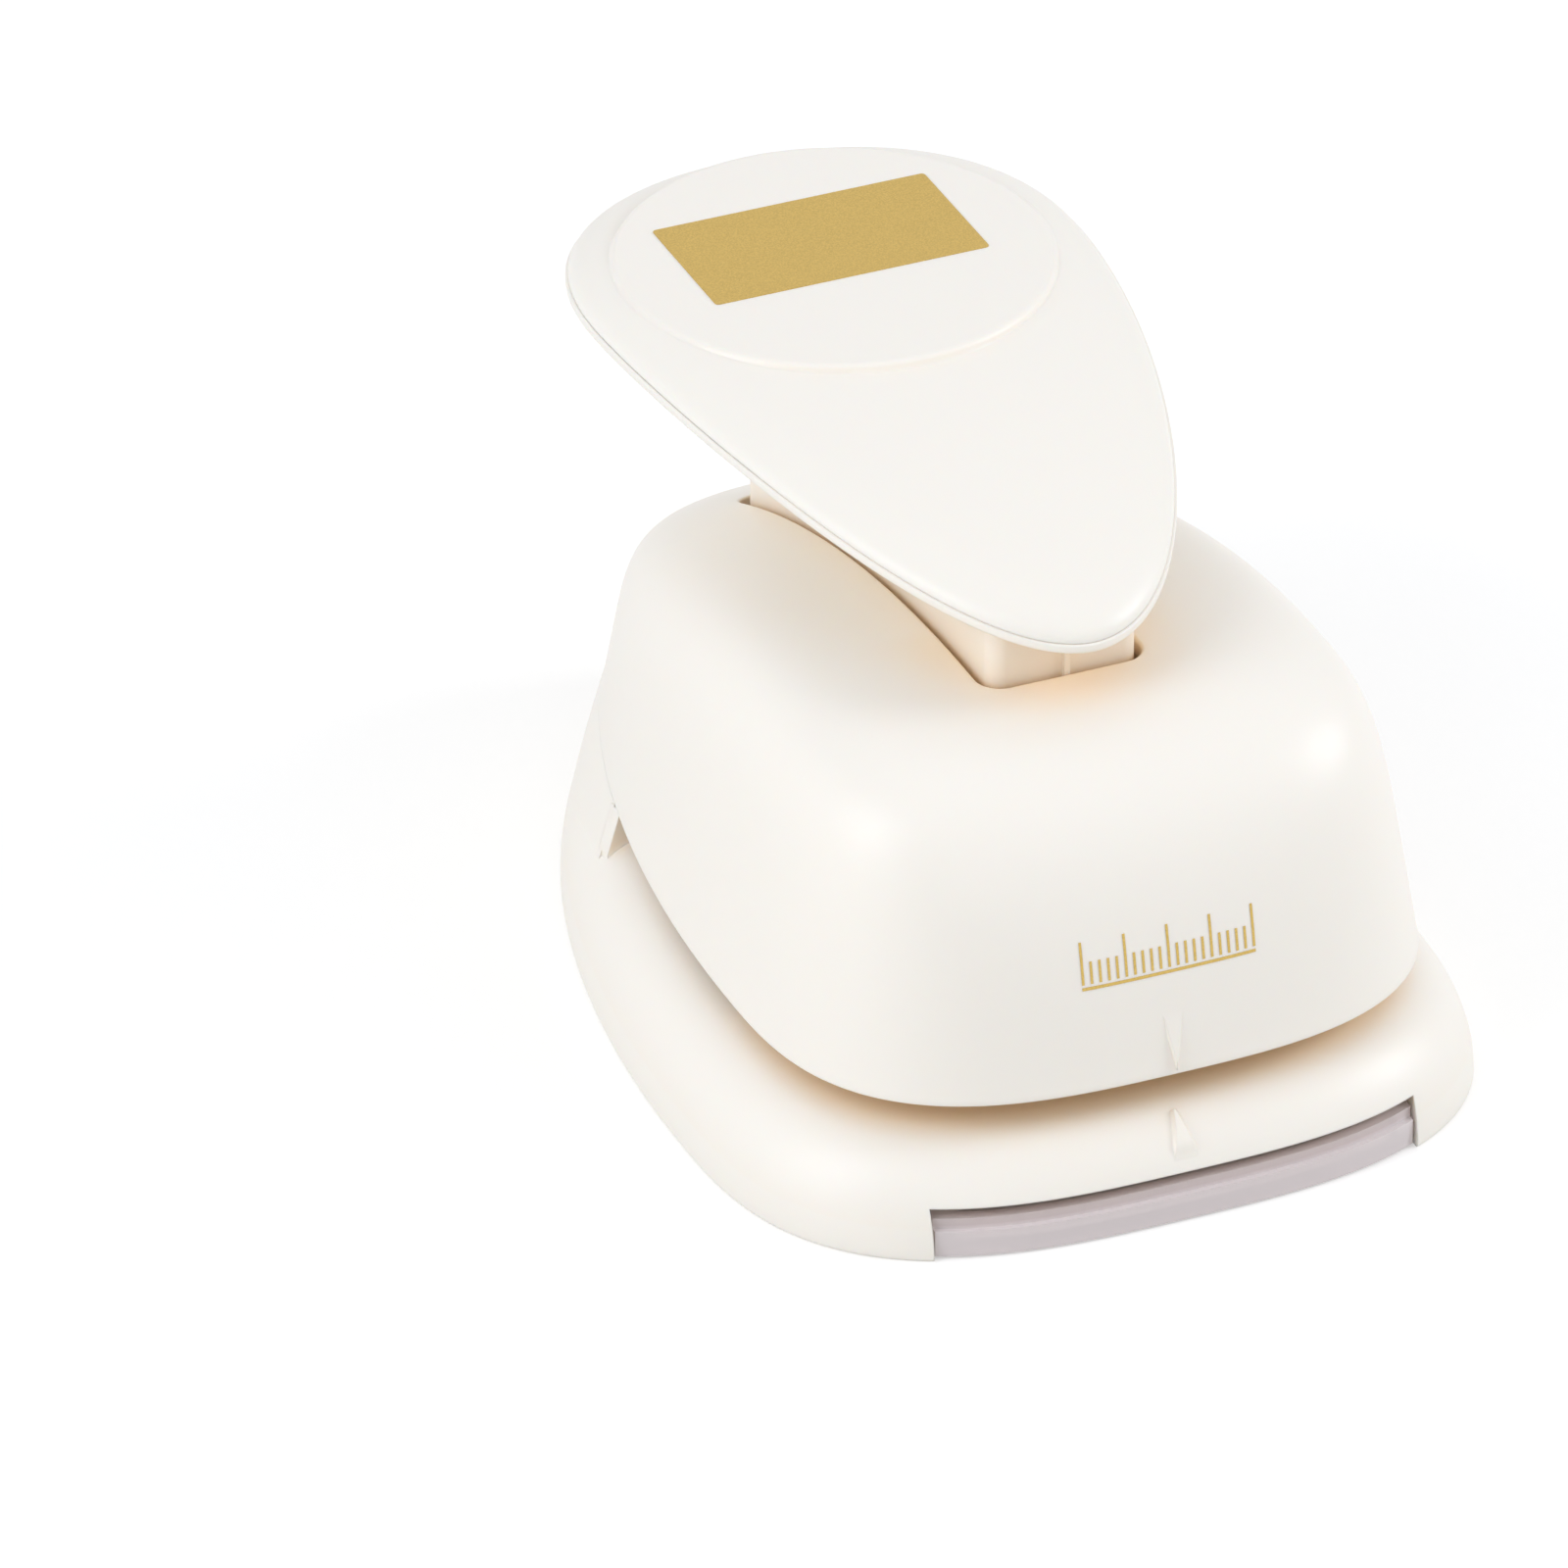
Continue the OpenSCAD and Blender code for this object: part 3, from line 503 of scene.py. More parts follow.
def clear(tree):
    """Clear plastic with fine lines along it, with painted shade above the step in its front, for the dark hollow
    behind it.
    """
    look = bpy.context.scene.punch_look
    lines = speckle(tree, 900, 2, (0.02, 0.3, 1))
    return {
        # Painted shade: the colour turns darker above the step, where the hollow behind would show through.
        "Base Color": blend(tree, height_of(tree), (0.0043, 0.0048), (look.tray_colour, look.tray_painted_shade)),
        "Transmission Weight": 0.34,
        "IOR": 1.49,
        "Roughness": spread(tree, lines, 0, 1, 0.04, 0.2),
        "Normal": bump(tree, lines, 0.35),
    }


def metal(tree, colour, low, high, stretch=(1, 1, 1)):
    """Metal with fine lines along one axis."""
    lines = speckle(tree, 400, 3, stretch)
    return {
        "Base Color": (*colour, 1),
        "Metallic": 1,
        "Roughness": spread(tree, lines, 0, 1, low, high),
        "Normal": bump(tree, lines, 0.12),
    }


def pale_floor(tree):
    """Matt floor that keeps shadows and passes into the white background further out."""
    far = add_node(tree, "ShaderNodeVectorMath", {0: place_of(tree)}, operation="LENGTH").outputs["Value"]
    return {
        "Base Color": (0.7, 0.685, 0.65, 1),
        "Roughness": 1,
        "Specular IOR Level": 0,
        "Emission Color": (1, 1, 1, 1),
        "Emission Strength": reckon(tree, "MULTIPLY", spread(tree, far, 0.12, 0.6, 0.38, 0.53), seen(tree)),
    }


def seen(tree):
    """1 for rays that come from the camera, a mirror or a clear piece, and 0 for the rest."""
    path = add_node(tree, "ShaderNodeLightPath").outputs
    shiny = reckon(tree, "MAXIMUM", path["Is Camera Ray"], path["Is Glossy Ray"])
    return reckon(tree, "MAXIMUM", shiny, path["Is Transmission Ray"])


# Geometry nodes

SOCKETS = {float: "NodeSocketFloat", int: "NodeSocketInt", tuple: "NodeSocketVector", type(None): "NodeSocketObject"}


def node_group(name, inputs):
    """Geometry group with named inputs, and the outputs of its input node."""
    tree = bpy.data.node_groups.new(name, "GeometryNodeTree")
    tree.interface.new_socket("Geometry", in_out="INPUT", socket_type="NodeSocketGeometry")
    for label, value in inputs.items():
        socket = tree.interface.new_socket(label, in_out="INPUT", socket_type=SOCKETS[type(value)])
        if value is not None:
            socket.default_value = value
    tree.interface.new_socket("Geometry", in_out="OUTPUT", socket_type="NodeSocketGeometry")
    return tree, add_node(tree, "NodeGroupInput").outputs


def end_group(tree, geometry, slot):
    """Real geometry with its material as the group's result."""
    real = add_node(tree, "GeometryNodeRealizeInstances", {"Geometry": geometry})
    paint = add_node(tree, "GeometryNodeSetMaterial", {"Geometry": real, "Material": finish(slot)})
    add_node(tree, "NodeGroupOutput", {0: paint})
    return tree


def run_group(obj, tree, values):
    """Run a group on an object with its inputs set, and keep the plain mesh."""
    step = put(obj.modifiers.new("rule", "NODES"), node_group=tree)
    for item in tree.interface.items_tree:
        if item.item_type == "SOCKET" and item.in_out == "INPUT" and item.name in values:
            step[item.identifier] = values[item.name]
    settle(obj)
    if not obj.data.polygons:
        raise RuntimeError(f"{obj.name}: the rule gave no faces")
    return obj


def spring_group():
    """Coil springs with closed ends, one at each corner of a rectangle."""
    tree, given = node_group("coil_springs", {
        "Turns": 5.5, "Coil radius": 0.003, "Wire radius": 0.00045, "Height": 0.01, "Width apart": 0.042,
        "Depth apart": 0.042, "Foot": (0, 0, 0)})
    coil = add_node(tree, "GeometryNodeCurveSpiral", {
        "Resolution": 40, "Rotations": given["Turns"], "Start Radius": given["Coil radius"],
        "End Radius": given["Coil radius"], "Height": 0.0})
    along = add_node(tree, "GeometryNodeSplineParameter").outputs["Factor"]
    climb = spread(tree, along, 0.13, 0.87, 0, given["Height"], interpolation_type="SMOOTHSTEP")
    lift = add_node(tree, "ShaderNodeCombineXYZ", {"Z": climb})
    risen = add_node(tree, "GeometryNodeSetPosition", {"Geometry": coil, "Offset": lift})
    section = add_node(tree, "GeometryNodeCurvePrimitiveCircle", {"Resolution": 16, "Radius": given["Wire radius"]})
    wire = add_node(tree, "GeometryNodeCurveToMesh", {"Curve": risen, "Profile Curve": section, "Fill Caps": True})
    corners = add_node(tree, "GeometryNodeMeshGrid", {
        "Size X": given["Width apart"], "Size Y": given["Depth apart"], "Vertices X": 2, "Vertices Y": 2})
    stood = add_node(tree, "GeometryNodeSetPosition", {"Geometry": corners, "Offset": given["Foot"]})
    copies = add_node(tree, "GeometryNodeInstanceOnPoints", {"Points": stood, "Instance": wire})
    return end_group(tree, copies, "spring_steel")


def copies_group(slot):
    """One fastener at each point of the object's own mesh."""
    tree, given = node_group("fastener_copies", {"Fastener": None, "Turn": 0.0})
    model = add_node(tree, "GeometryNodeObjectInfo", {"Object": given["Fastener"], "As Instance": True})
    spin = add_node(tree, "FunctionNodeRandomValue", {2: 0.0, 3: given["Turn"], "Seed": 7}, data_type="FLOAT")
    about = add_node(tree, "ShaderNodeCombineXYZ", {"Z": spin.outputs[1]})
    copies = add_node(tree, "GeometryNodeInstanceOnPoints", {
        "Points": given["Geometry"], "Instance": model.outputs["Geometry"], "Rotation": about})
    return end_group(tree, copies, slot)


def scale_group():
    """Row of ticks laid on another object's front, each fifth one longer."""
    tree, given = node_group("tick_row", {
        "Surface": None, "Ticks": 25, "Spacing": 0.001, "Tick width": 0.0003, "Tick height": 0.002,
        "Foot": (0, 0, 0), "Lift": 0.00003, "Columns": 3})
    apart = add_node(tree, "ShaderNodeCombineXYZ", {"X": given["Spacing"]})
    row = add_node(tree, "GeometryNodeMeshLine", {
        "Count": given["Ticks"], "Start Location": given["Foot"], "Offset": apart})
    rest = reckon(tree, "MODULO", add_node(tree, "GeometryNodeInputIndex"), 5.0)
    fifth = reckon(tree, "LESS_THAN", rest, 0.5)
    size = add_node(tree, "ShaderNodeCombineXYZ", {
        "X": 1.0, "Y": reckon(tree, "MULTIPLY_ADD", fifth, 0.9, 1.0), "Z": 1.0})
    patch = add_node(tree, "GeometryNodeMeshGrid", {
        "Size X": given["Tick width"], "Size Y": given["Tick height"], "Vertices X": given["Columns"],
        "Vertices Y": 9})
    up = add_node(tree, "ShaderNodeCombineXYZ", {"Y": reckon(tree, "MULTIPLY", given["Tick height"], 0.5)})
    footed = add_node(tree, "GeometryNodeSetPosition", {"Geometry": patch, "Offset": up})
    copies = add_node(tree, "GeometryNodeInstanceOnPoints", {
        "Points": row, "Instance": footed, "Rotation": (np.pi / 2, 0, 0), "Scale": size})
    flat = add_node(tree, "GeometryNodeRealizeInstances", {"Geometry": copies})
    model = add_node(tree, "GeometryNodeObjectInfo", {"Object": given["Surface"]})
    ray = add_node(tree, "GeometryNodeRaycast", {
        "Target Geometry": model.outputs["Geometry"], "Ray Direction": (0, 1, 0), "Ray Length": 0.2}).outputs
    rise = add_node(tree, "ShaderNodeVectorMath", {0: ray["Hit Normal"], "Scale": given["Lift"]}, operation="SCALE")
    spot = add_node(tree, "ShaderNodeVectorMath", {0: ray["Hit Position"], 1: rise}, operation="ADD")
    laid = add_node(tree, "GeometryNodeSetPosition", {"Geometry": flat, "Position": spot})
    front = add_node(tree, "GeometryNodeExtrudeMesh", {
        "Mesh": laid, "Offset Scale": given["Lift"], "Individual": False})
    rear = add_node(tree, "GeometryNodeFlipFaces", {"Mesh": laid})
    closed = add_node(tree, "GeometryNodeJoinGeometry", {0: front})
    tree.links.new(rear.outputs[0], closed.inputs[0])
    return end_group(tree, closed, "gold_foil")


# What a user may change

def length(name, default, about):
    return bpy.props.FloatProperty(name=name, description=about, default=default, unit="LENGTH")


def colour(name, default, about):
    return bpy.props.FloatVectorProperty(name=name, description=about, default=default, subtype="COLOR")


class PunchLook(bpy.types.PropertyGroup):
    """Roundings and colours of the visual pieces."""

    lip_round: length("Lip rounding", 0.0004, "Rounding of the housing's lower edge")
    opening_round: length("Opening rounding", 0.0005, "Rounding round the lever opening")
    edge_roll: length("Lever edge", 0.0064, "Width over which the lever's top rolls to its edge")
    pad_soft: length("Pad softness", 0.0003, "How softly the pad meets the lever")
    edge_soft: length("Edge softness", 0.0003, "Shaded rounding of the moulded edges")
    body_colour: colour("Body", (0.93, 0.875, 0.78), "Colour of the plastic")
    # Painted shade: the colour that stands in for shade in gaps and under the lever, and how near other surfaces must
    # be for it.
    painted_shade_colour: colour("Hollows", (0.92, 0.72, 0.49), "Warmer colour of the plastic deep in gaps")
    painted_shade_reach: length("Hollow reach", 0.014, "How near other surfaces have to be for the warmer colour")
    step_reach: length(
        "Step reach", 0.001, "How near surfaces are that count as a small step, with no warmer colour")
    glow: bpy.props.FloatProperty(
        name="Glow", description="Share of light that passes through the plastic", default=0.12, subtype="FACTOR")
    glow_depth: length("Glow depth", 0.002, "How far light travels in the plastic")
    gold_colour: colour("Foil", (0.61, 0.43, 0.13), "Colour of the foil")
    tray_colour: colour("Tray", (0.99, 0.9, 0.88), "Colour of the clear tray")
    # Painted shade on the tray above its step, for the dark hollow behind it.
    tray_painted_shade: colour(
        "Tray shade", (0.82, 0.71, 0.68), "Colour of the tray where the dark hollow behind it shows")


class PUNCH_OT_base(bpy.types.Operator):
    """Build the base shell with its rear wall, marks, tray cut-out and die recess"""

    bl_idname = "punch.base"
    bl_label = "Base"

    def execute(self, context):
        t = even(base_point, AROUND)
        foot = context.scene.punch_look.lip_round / MM
        rings = [raised(base_point(t, inset), z) for inset, z in rounding(foot)[:-1]]
        start = np.arcsin(foot / TABLE_Z)
        for a in start + (np.pi / 2 - start) * np.linspace(0, 1, 41):
            rings.append(raised(base_point(t, FLANGE_ROUND * (1 - np.cos(a))), TABLE_Z * np.sin(a)))
        base = shell("base_casing", rings)
        bosses = at_screws(HOUSING_SCREWS, lambda x, y: upright("boss", x, y, BOSS_R, CAVITY_Z - 0.5, LIP_Z))
        combine(base, "UNION", self.rear_wall(t), self.front_mark(), *both(self.wedge), *bosses)
        hole_w, hole_d = CUT_W / 2 + DROP_ROOM, CUT_D / 2 + DROP_ROOM
        holes = at_screws(
            HOUSING_SCREWS, lambda x, y: upright("hole", x, y, HOUSING_HOLE_R, CAVITY_Z - 1, LIP_Z + 1))
        combine(base, "DIFFERENCE", self.cavity(t),
                box("cut-out", -CUTOUT_HALF_W, CUTOUT_HALF_W, CUTOUT_Y0, CUTOUT_Y1, -1, CUTOUT_H),
                prism("die recess", self.die_plan(DIE_PLAY), DIE_Z, TABLE_Z + 1),
                box("drop hole", -hole_w, hole_w, -hole_d, hole_d, CAVITY_Z - 1, TABLE_Z), *holes)
        finish_piece(base, "frame", "ivory_plastic", "base_shell")
        return {"FINISHED"}

    def rear_wall(self, t):
        """Wall behind the throat, hollow above the table. It grows out of the flange over some length."""
        growth, bury, soft = 26, 0.5, 0.4
        middle = np.array([0, WIDEST_Y])
        way = lip_point(t, 0) - middle
        way = way / np.linalg.norm(way, axis=1)[:, None]
        grown = ease((lip_point(t, 0)[:, 1] - THROAT_END) / growth)

        def reach(side, back):
            return 1 / np.hypot(way[:, 0] / (BASE_HALF_W - side), way[:, 1] / (BASE_BACK - back))

        def wall(z, inset):
            part = min(z / LIP_Z, 1) ** WALL_CURVE
            full = reach(part * LIP_SIDE + inset, part * LIP_BACK + inset)
            sunk = flange_inset(z) + bury + inset
            flare = inset - WEDGE_HALF * max(LIP_Z - z, 0) / (LIP_Z - DIE_Z)
            post = reach(LIP_SIDE + flare, LIP_BACK + flare)
            thin = soft * np.logaddexp(reach(sunk, sunk) / soft, post / soft)
            return raised(middle + way * (grown * full + (1 - grown) * thin)[:, None], z)

        outer = shell("rear wall", [wall(z, 0) for z in np.linspace(0.4, LIP_Z, 41)])
        inner = shell("rear hollow", [wall(z, WALL) for z in np.linspace(TABLE_Z, LIP_Z + 1, 9)])
        combine(outer, "DIFFERENCE", inner)
        return combine(outer, "INTERSECT", box("rear half", -70, 70, THROAT_END, 90, 0.1, LIP_Z + 2))

    def cavity(self, t):
        """Hollow under the base, with the tray's rails left standing in it."""
        levels = np.concatenate([[-1], np.linspace(0, CAVITY_Z, 13)[1:]])
        hollow = shell("hollow", [raised(base_point(t, WALL + flange_inset(max(z, 0))), z) for z in levels])
        play, rail_out, shelf_out, rail_y, ledge_z, ledge_t = 0.4, 1.6, 1.5, -51.5, 3.8, 1.2
        for s in (1, -1):
            wall = sorted((s * (TRAY_HALF_W + play), s * (TRAY_HALF_W + rail_out)))
            shelf = sorted((s * (TRAY_BODY + play), s * (TRAY_HALF_W + shelf_out)))
            combine(hollow, "DIFFERENCE",
                    box("rail", *wall, rail_y, TRAY_BACK, ledge_z - ledge_t, CAVITY_Z + 1),
                    box("ledge", *shelf, rail_y, TRAY_BACK, ledge_z - ledge_t, ledge_z))
        return hollow

    def front_mark(self):
        """Raised triangle on the flange's front that follows its slope and fades at its foot."""
        foot_z, apex_z, half, tip, high, root, slope = 9.0, 13.9, 1.7, 0.12, 0.6, 1.0, 1.2
        rings = []
        for part in np.linspace(0, 1, 13):
            z = foot_z + (apex_z - foot_z) * part
            a = np.arcsin(z / TABLE_Z)
            at = np.array([0, WIDEST_Y - BASE_FRONT + flange_inset(z), z])
            out = np.array([0, -TABLE_Z * np.cos(a), FLANGE_ROUND * np.sin(a)])
            out /= np.linalg.norm(out)
            w, lift = half + (tip - half) * part, 0.02 + high * ease(part / 0.4)
            section = ((-w - slope, -root), (w + slope, -root), (w, lift), (-w, lift))
            rings.append([at + [u, 0, 0] + h * out for u, h in section])
        return shell("front mark", rings)

    def wedge(self, s):
        """Pointed post at the end of the throat."""
        part = (THROAT_END - WIDEST_Y) / (BASE_BACK - LIP_BACK)
        x = s * (BASE_HALF_W - LIP_SIDE) * (1 - part ** LIP_SQUARE) ** (1 / LIP_SQUARE)
        half, behind, ahead = WEDGE_HALF, THROAT_END + 1, THROAT_END - 2
        plan = np.array([[-half, CAVITY_Z], [half, CAVITY_Z], [half, DIE_Z], [0, LIP_Z - 0.1], [-half, DIE_Z]])
        return prism("wedge", plan + [x, 0], behind, ahead, 1)

    def die_plan(self, grow):
        """Outline of the die plate grown by a distance."""
        w, tail, front, back = PLATE_HALF_W + grow, PLATE_TAIL + grow, PLATE_Y0 - grow, PLATE_Y1 + grow
        return np.array([[w, front], [w, THROAT_END], [tail, back], [-tail, back], [-w, THROAT_END], [-w, front]])


class PUNCH_OT_housing(bpy.types.Operator):
    """Build the dome housing with its opening, pivot ears, bosses and mark"""

    bl_idname = "punch.housing"
    bl_label = "Housing"

    def execute(self, context):
        look = context.scene.punch_look
        t = even(lip_point, AROUND)
        sharper, run = 0.85, 8
        lip = look.lip_round / MM * (1 - sharper * ease((lip_point(t, 0)[:, 1] - THROAT_END) / run))
        rings = [raised(lip_point(t, WALL), LIP_Z)]
        rings += [raised(lip_point(t, inset), LIP_Z + z) for inset, z in rounding(lip)]
        rings += self.outside(t, lip, look.opening_round / MM)
        rings += self.inside(t)
        housing = shell("dome_casing", rings, loop=True)
        combine(housing, "UNION", *both(self.ear), *both(self.ear_block), self.mark())
        for (x, y), way in zip(HOUSING_SCREWS, ("side", "back")):
            combine(housing, "UNION", *both(lambda s: self.boss(s, x, y, way)))
        half, r = 17, PIVOT_R + PIN_PLAY
        holes = at_screws(
            HOUSING_SCREWS, lambda x, y: upright("hole", x, y, HOUSING_HOLE_R, LIP_Z - 1, LIP_Z + BOSS_H - 1))
        combine(housing, "DIFFERENCE", cross_bar("bore", PIVOT_Y, PIVOT_Z, r, -half, half), *holes)
        finish_piece(housing, "frame", "ivory_plastic", "upper_housing")
        return {"FINISHED"}

    def outside(self, t, lip, soft):
        """Outer rings from above the lip to the opening, then over its soft edge."""
        fine = np.linspace(0, 1, 600)
        stop = place_for(t, opening_share(t, soft, 0))
        path = np.stack([dome(t, w * stop, 0) for w in fine])
        steps = np.linalg.norm(np.diff(path, axis=0), axis=2)
        run = np.concatenate([np.zeros((1, len(t))), np.cumsum(steps, axis=0)])
        rings = []
        for part in np.linspace(0, 1, 111)[1:]:
            want = 1.5 * lip + part * (run[-1] - 1.5 * lip)
            w = np.array([np.interp(want[i], run[:, i], fine) for i in range(len(t))])
            rings.append(dome(t, w * stop, 0))
        for grow, down in rounding(soft, 7)[1:]:
            rings.append(dome(t, place_for(t, opening_share(t, grow, 0)), 0) - [0, 0, down])
        return rings

    def inside(self, t):
        """Inner rings from the opening's wall out to the lip."""
        first = place_for(t, opening_share(t, 0, WALL))
        return [dome(t, first * (1 - part), WALL) for part in np.linspace(0, 0.985, 40)]

    def ear(self, s):
        return cross_bar("ear", PIVOT_Y, PIVOT_Z, EAR_R, *sorted((s * EAR_IN, s * EAR_OUT)))

    def ear_block(self, s):
        """Web from an ear up to the dome's skin."""
        x, skin = sorted((s * EAR_IN, s * EAR_OUT)), 1.4
        return box("ear block", *x, PIVOT_Y - EAR_R, PIVOT_Y + EAR_R, PIVOT_Z, CROWN_Z - skin)

    def boss(self, s, x, y, way):
        """Screw boss with a rib to the wall, kept inside the dome's skin."""
        half, side, back, skin, foot = 0.8, 45, 75, 0.8, LIP_Z + 0.2
        boss = upright("boss", s * x, y, BOSS_R, LIP_Z, LIP_Z + BOSS_H)
        if way == "side":
            rib = box("rib", *sorted((s * x, s * side)), y - half, y + half, foot, LIP_Z + BOSS_H - 2)
        else:
            rib = box("rib", s * x - half, s * x + half, y, back, foot, LIP_Z + BOSS_H - 4)
        combine(boss, "UNION", rib)
        t = even(lip_point, 240)
        rings = [dome(t, np.full_like(t, w), skin) for w in np.linspace(0, 0.97, 40)]
        rings[0][:, 2] -= 1
        return combine(boss, "INTERSECT", shell("skin", rings))

    def mark(self):
        """Triangle with sloping edges on the dome's front. It points down, and stands out more at its tip."""
        half, low, high, root, edge, run, taper = 1.9, -0.05, 0.85, 3.0, 0.35, 0.3, (1.3, 4)
        front = np.array([-np.pi / 2])

        def at(height):
            up = height / (CROWN_Z - LIP_Z)
            part = (1 - up ** FULL[1]) ** (1 / FULL[1]) * (1 - up * LEAN[1])
            return np.array([0, CROWN_Y + (lip_point(front, 0)[0, 1] - CROWN_Y) * part, LIP_Z + height])

        foot, apex = at(9.6), at(0.8)
        length = np.linalg.norm(apex - foot)
        along = (apex - foot) / length
        side = np.array([1.0, 0, 0])
        out = np.cross(side, along)
        out *= -np.sign(out[1])
        rings = []
        for level, shrink in ((-root, 0), (-edge, 0), (0, run)):
            wide = half - taper[0] * shrink
            corners = [(-wide, shrink), (wide, shrink), (0, length - taper[1] * shrink)]
            rings.append([foot + u * side + v * along + (level + low + (high - low) * v / length) * out
                          for u, v in corners])
        return shell("housing mark", rings)


class PUNCH_OT_lever(bpy.types.Operator):
    """Build the lever's plate with its skirt, and the cover with its pad"""

    bl_idname = "punch.lever"
    bl_label = "Lever"

    def execute(self, context):
        look = context.scene.punch_look
        t = even(lever_point, AROUND)
        plate = self.plate(t)
        combine(plate, "UNION", self.skirt(), self.front_rib())
        combine(plate, "DIFFERENCE",
                cross_bar("pivot bore", PIVOT_Y, PIVOT_Z, PIVOT_R + PIN_PLAY, -OPEN_HALF_W, OPEN_HALF_W),
                cross_bar("press bore", 0, PRESS_Z, PRESS_R + PIN_PLAY, -OPEN_HALF_W, OPEN_HALF_W),
                *at_screws(LEVER_SCREWS, lambda x, y: upright("hole", x, y, LEVER_HOLE_R, 70, 90)))
        finish_piece(plate, "lever", "ivory_plastic", "lever_body")
        cover = self.cover(t, look.edge_roll / MM, look.pad_soft / MM)
        finish_piece(cover, "lever", "ivory_plastic", "lever_cover")
        return {"FINISHED"}

    def lifted(self, plan, h):
        """Plan points at a height above the lever's lower rim."""
        return raised(plan, rim(plan[:, 1]) + h)

    def inner_rings(self, t, inset, shares, h):
        """Rings shrunk towards the lever's widest line."""
        outline = lever_point(t, inset)
        middle = np.array([0, LEVER_Y])
        return [self.lifted(part * outline + (1 - part) * middle, h) for part in shares]

    def plate(self, t):
        """Thin plate with rounded edges that follows the lever's long curve."""
        shares = [0.02, 0.2, 0.4, 0.6, 0.8, 0.93]
        low, high = 0.6, 0.15
        rings = self.inner_rings(t, low, shares, 0)
        rings += [self.lifted(lever_point(t, inset), z) for inset, z in rounding(low)]
        rings += [self.lifted(lever_point(t, inset), PLATE_T - down) for down, inset in rounding(high)]
        rings += self.inner_rings(t, high, shares[::-1], PLATE_T)
        return shell("lever_underside", rings)

    def skirt(self):
        """Box without a floor, from the plate down into the dome."""
        w, inner_w, corner_r, inner_r = SKIRT_HALF_W, SKIRT_HALF_W - SKIRT_WALL, 2.5, 1.2
        outer = self.refined(rounded_box(-w, w, SKIRT_Y0, SKIRT_Y1, corner_r))
        inner = rounded_box(-inner_w, inner_w, SKIRT_Y0 + SKIRT_WALL, SKIRT_Y1 - SKIRT_WALL, inner_r)
        skirt = shell("skirt", [raised(outer, SKIRT_Z), raised(outer, rim(outer[:, 1]) + PLATE_T / 2)])
        return combine(skirt, "DIFFERENCE", prism("skirt inside", inner, SKIRT_Z - 1, RIM_Z + 4))

    def refined(self, outline):
        """Outline with points added along its straight sides, so that its top follows the lever's curve."""
        points = []
        for a, b in zip(outline, np.roll(outline, -1, 0)):
            count = max(1, int(np.linalg.norm(b - a) / 3))
            points += [a + (b - a) * k / count for k in range(count)]
        return np.array(points)

    def front_rib(self):
        half, ahead, bury = 0.45, 0.6, 0.4
        return box("front rib", -half, half, SKIRT_Y0 - ahead, SKIRT_Y0 + 1, PIVOT_Z, rim(SKIRT_Y0) + bury)

    def cover(self, t, roll, soft):
        """Cover with a soft edge, crowned a little across, and the flat pad grown out of it."""
        edge_in, upstand, wall_in, hollow_h = 0.35, 0.35, 2.6, 2.2
        middle = np.array([0, PAD_Y])
        rings = self.inner_rings(t, wall_in, [0.02, 0.4, 0.7, 0.9, 1.0], hollow_h)
        rings += [self.lifted(lever_point(t, inset), FOOT) for inset in (wall_in, edge_in)]
        rise = LEVER_T - FOOT - upstand
        for a in np.radians(np.linspace(0, 90, 29)):
            plan = lever_point(t, edge_in + roll * (1 - np.cos(a)))
            rings.append(self.topped(plan, FOOT + upstand + rise * np.sin(a), soft))
        last = lever_point(t, edge_in + roll) - middle
        reach = np.linalg.norm(last, axis=1)
        way = last / reach[:, None]
        far = np.minimum(PAD_R + 1.2, 0.97 * reach)
        near = np.minimum(PAD_R - 2, 0.9 * reach)
        for start, stop, count in ((reach, far, 30), (far, near, 26), (near, 0.01 * reach, 16)):
            for part in np.linspace(0, 1, count + 1)[1:]:
                plan = middle + way * (start + (stop - start) * part)[:, None]
                rings.append(self.topped(plan, LEVER_T, soft))
        return shell("lever_top", rings)

    def topped(self, plan, h, soft):
        """Ring of the cover's top, blended into the pad's disc."""
        crown, edge, fall = 0.4, 0.9, 6
        across = np.abs(plan[:, 0]) / PAD_R
        top = rim(plan[:, 1]) + h - crown * across ** 2
        r = np.hypot(plan[:, 0], plan[:, 1] - PAD_Y)
        down = np.clip((r - PAD_R + edge) / edge, 0, 0.9999)
        pad = PAD_Z - edge * (1 - np.sqrt(1 - down ** 2)) - fall * np.maximum(0, r - PAD_R)
        gap = np.clip((pad - top) / soft, -40, 40)
        return raised(plan, np.minimum(top + soft * np.log1p(np.exp(gap)), PAD_Z))


class PUNCH_OT_foil(bpy.types.Operator):
    """Lay the foil rectangle on the pad and a plain tick row on the dome's front"""

    bl_idname = "punch.foil"
    bl_label = "Foil"

    def execute(self, context):
        edge, side_h, top_h = 0.06, 0.1, 0.14
        plan, inner = (rounded_box(-FOIL_HALF_W + e, FOIL_HALF_W - e, FOIL_Y0 + e, FOIL_Y1 - e, FOIL_R - e, 8)
                       for e in (0, edge))
        label = shell("pad_foil", [
            raised(plan, PAD_Z), raised(plan, PAD_Z + side_h), raised(inner, PAD_Z + top_h)])
        finish_piece(label, "lever", "gold_foil", "foil_label")
        dome_casing = bpy.data.objects.get("dome_casing")
        if dome_casing is None:
            raise RuntimeError("the tick row needs the housing first")
        rule = scale_group()
        row = {"Surface": dome_casing, "Ticks": 21, "Spacing": 0.00125, "Tick width": 0.00036,
               "Tick height": 0.0031, "Foot": (-0.0125, -0.1, 0.0356), "Lift": 0.00004, "Columns": 3}
        line = {**row, "Ticks": 1, "Tick width": 0.02536, "Tick height": 0.00022, "Foot": (0, -0.1, 0.0348),
                "Columns": 60}
        for name, values in (("dome_scale", row), ("dome_scale_line", line)):
            finish_piece(run_group(solid(name, [[0, 0, 0]], []), rule, values), "frame", "gold_foil")
        return {"FINISHED"}


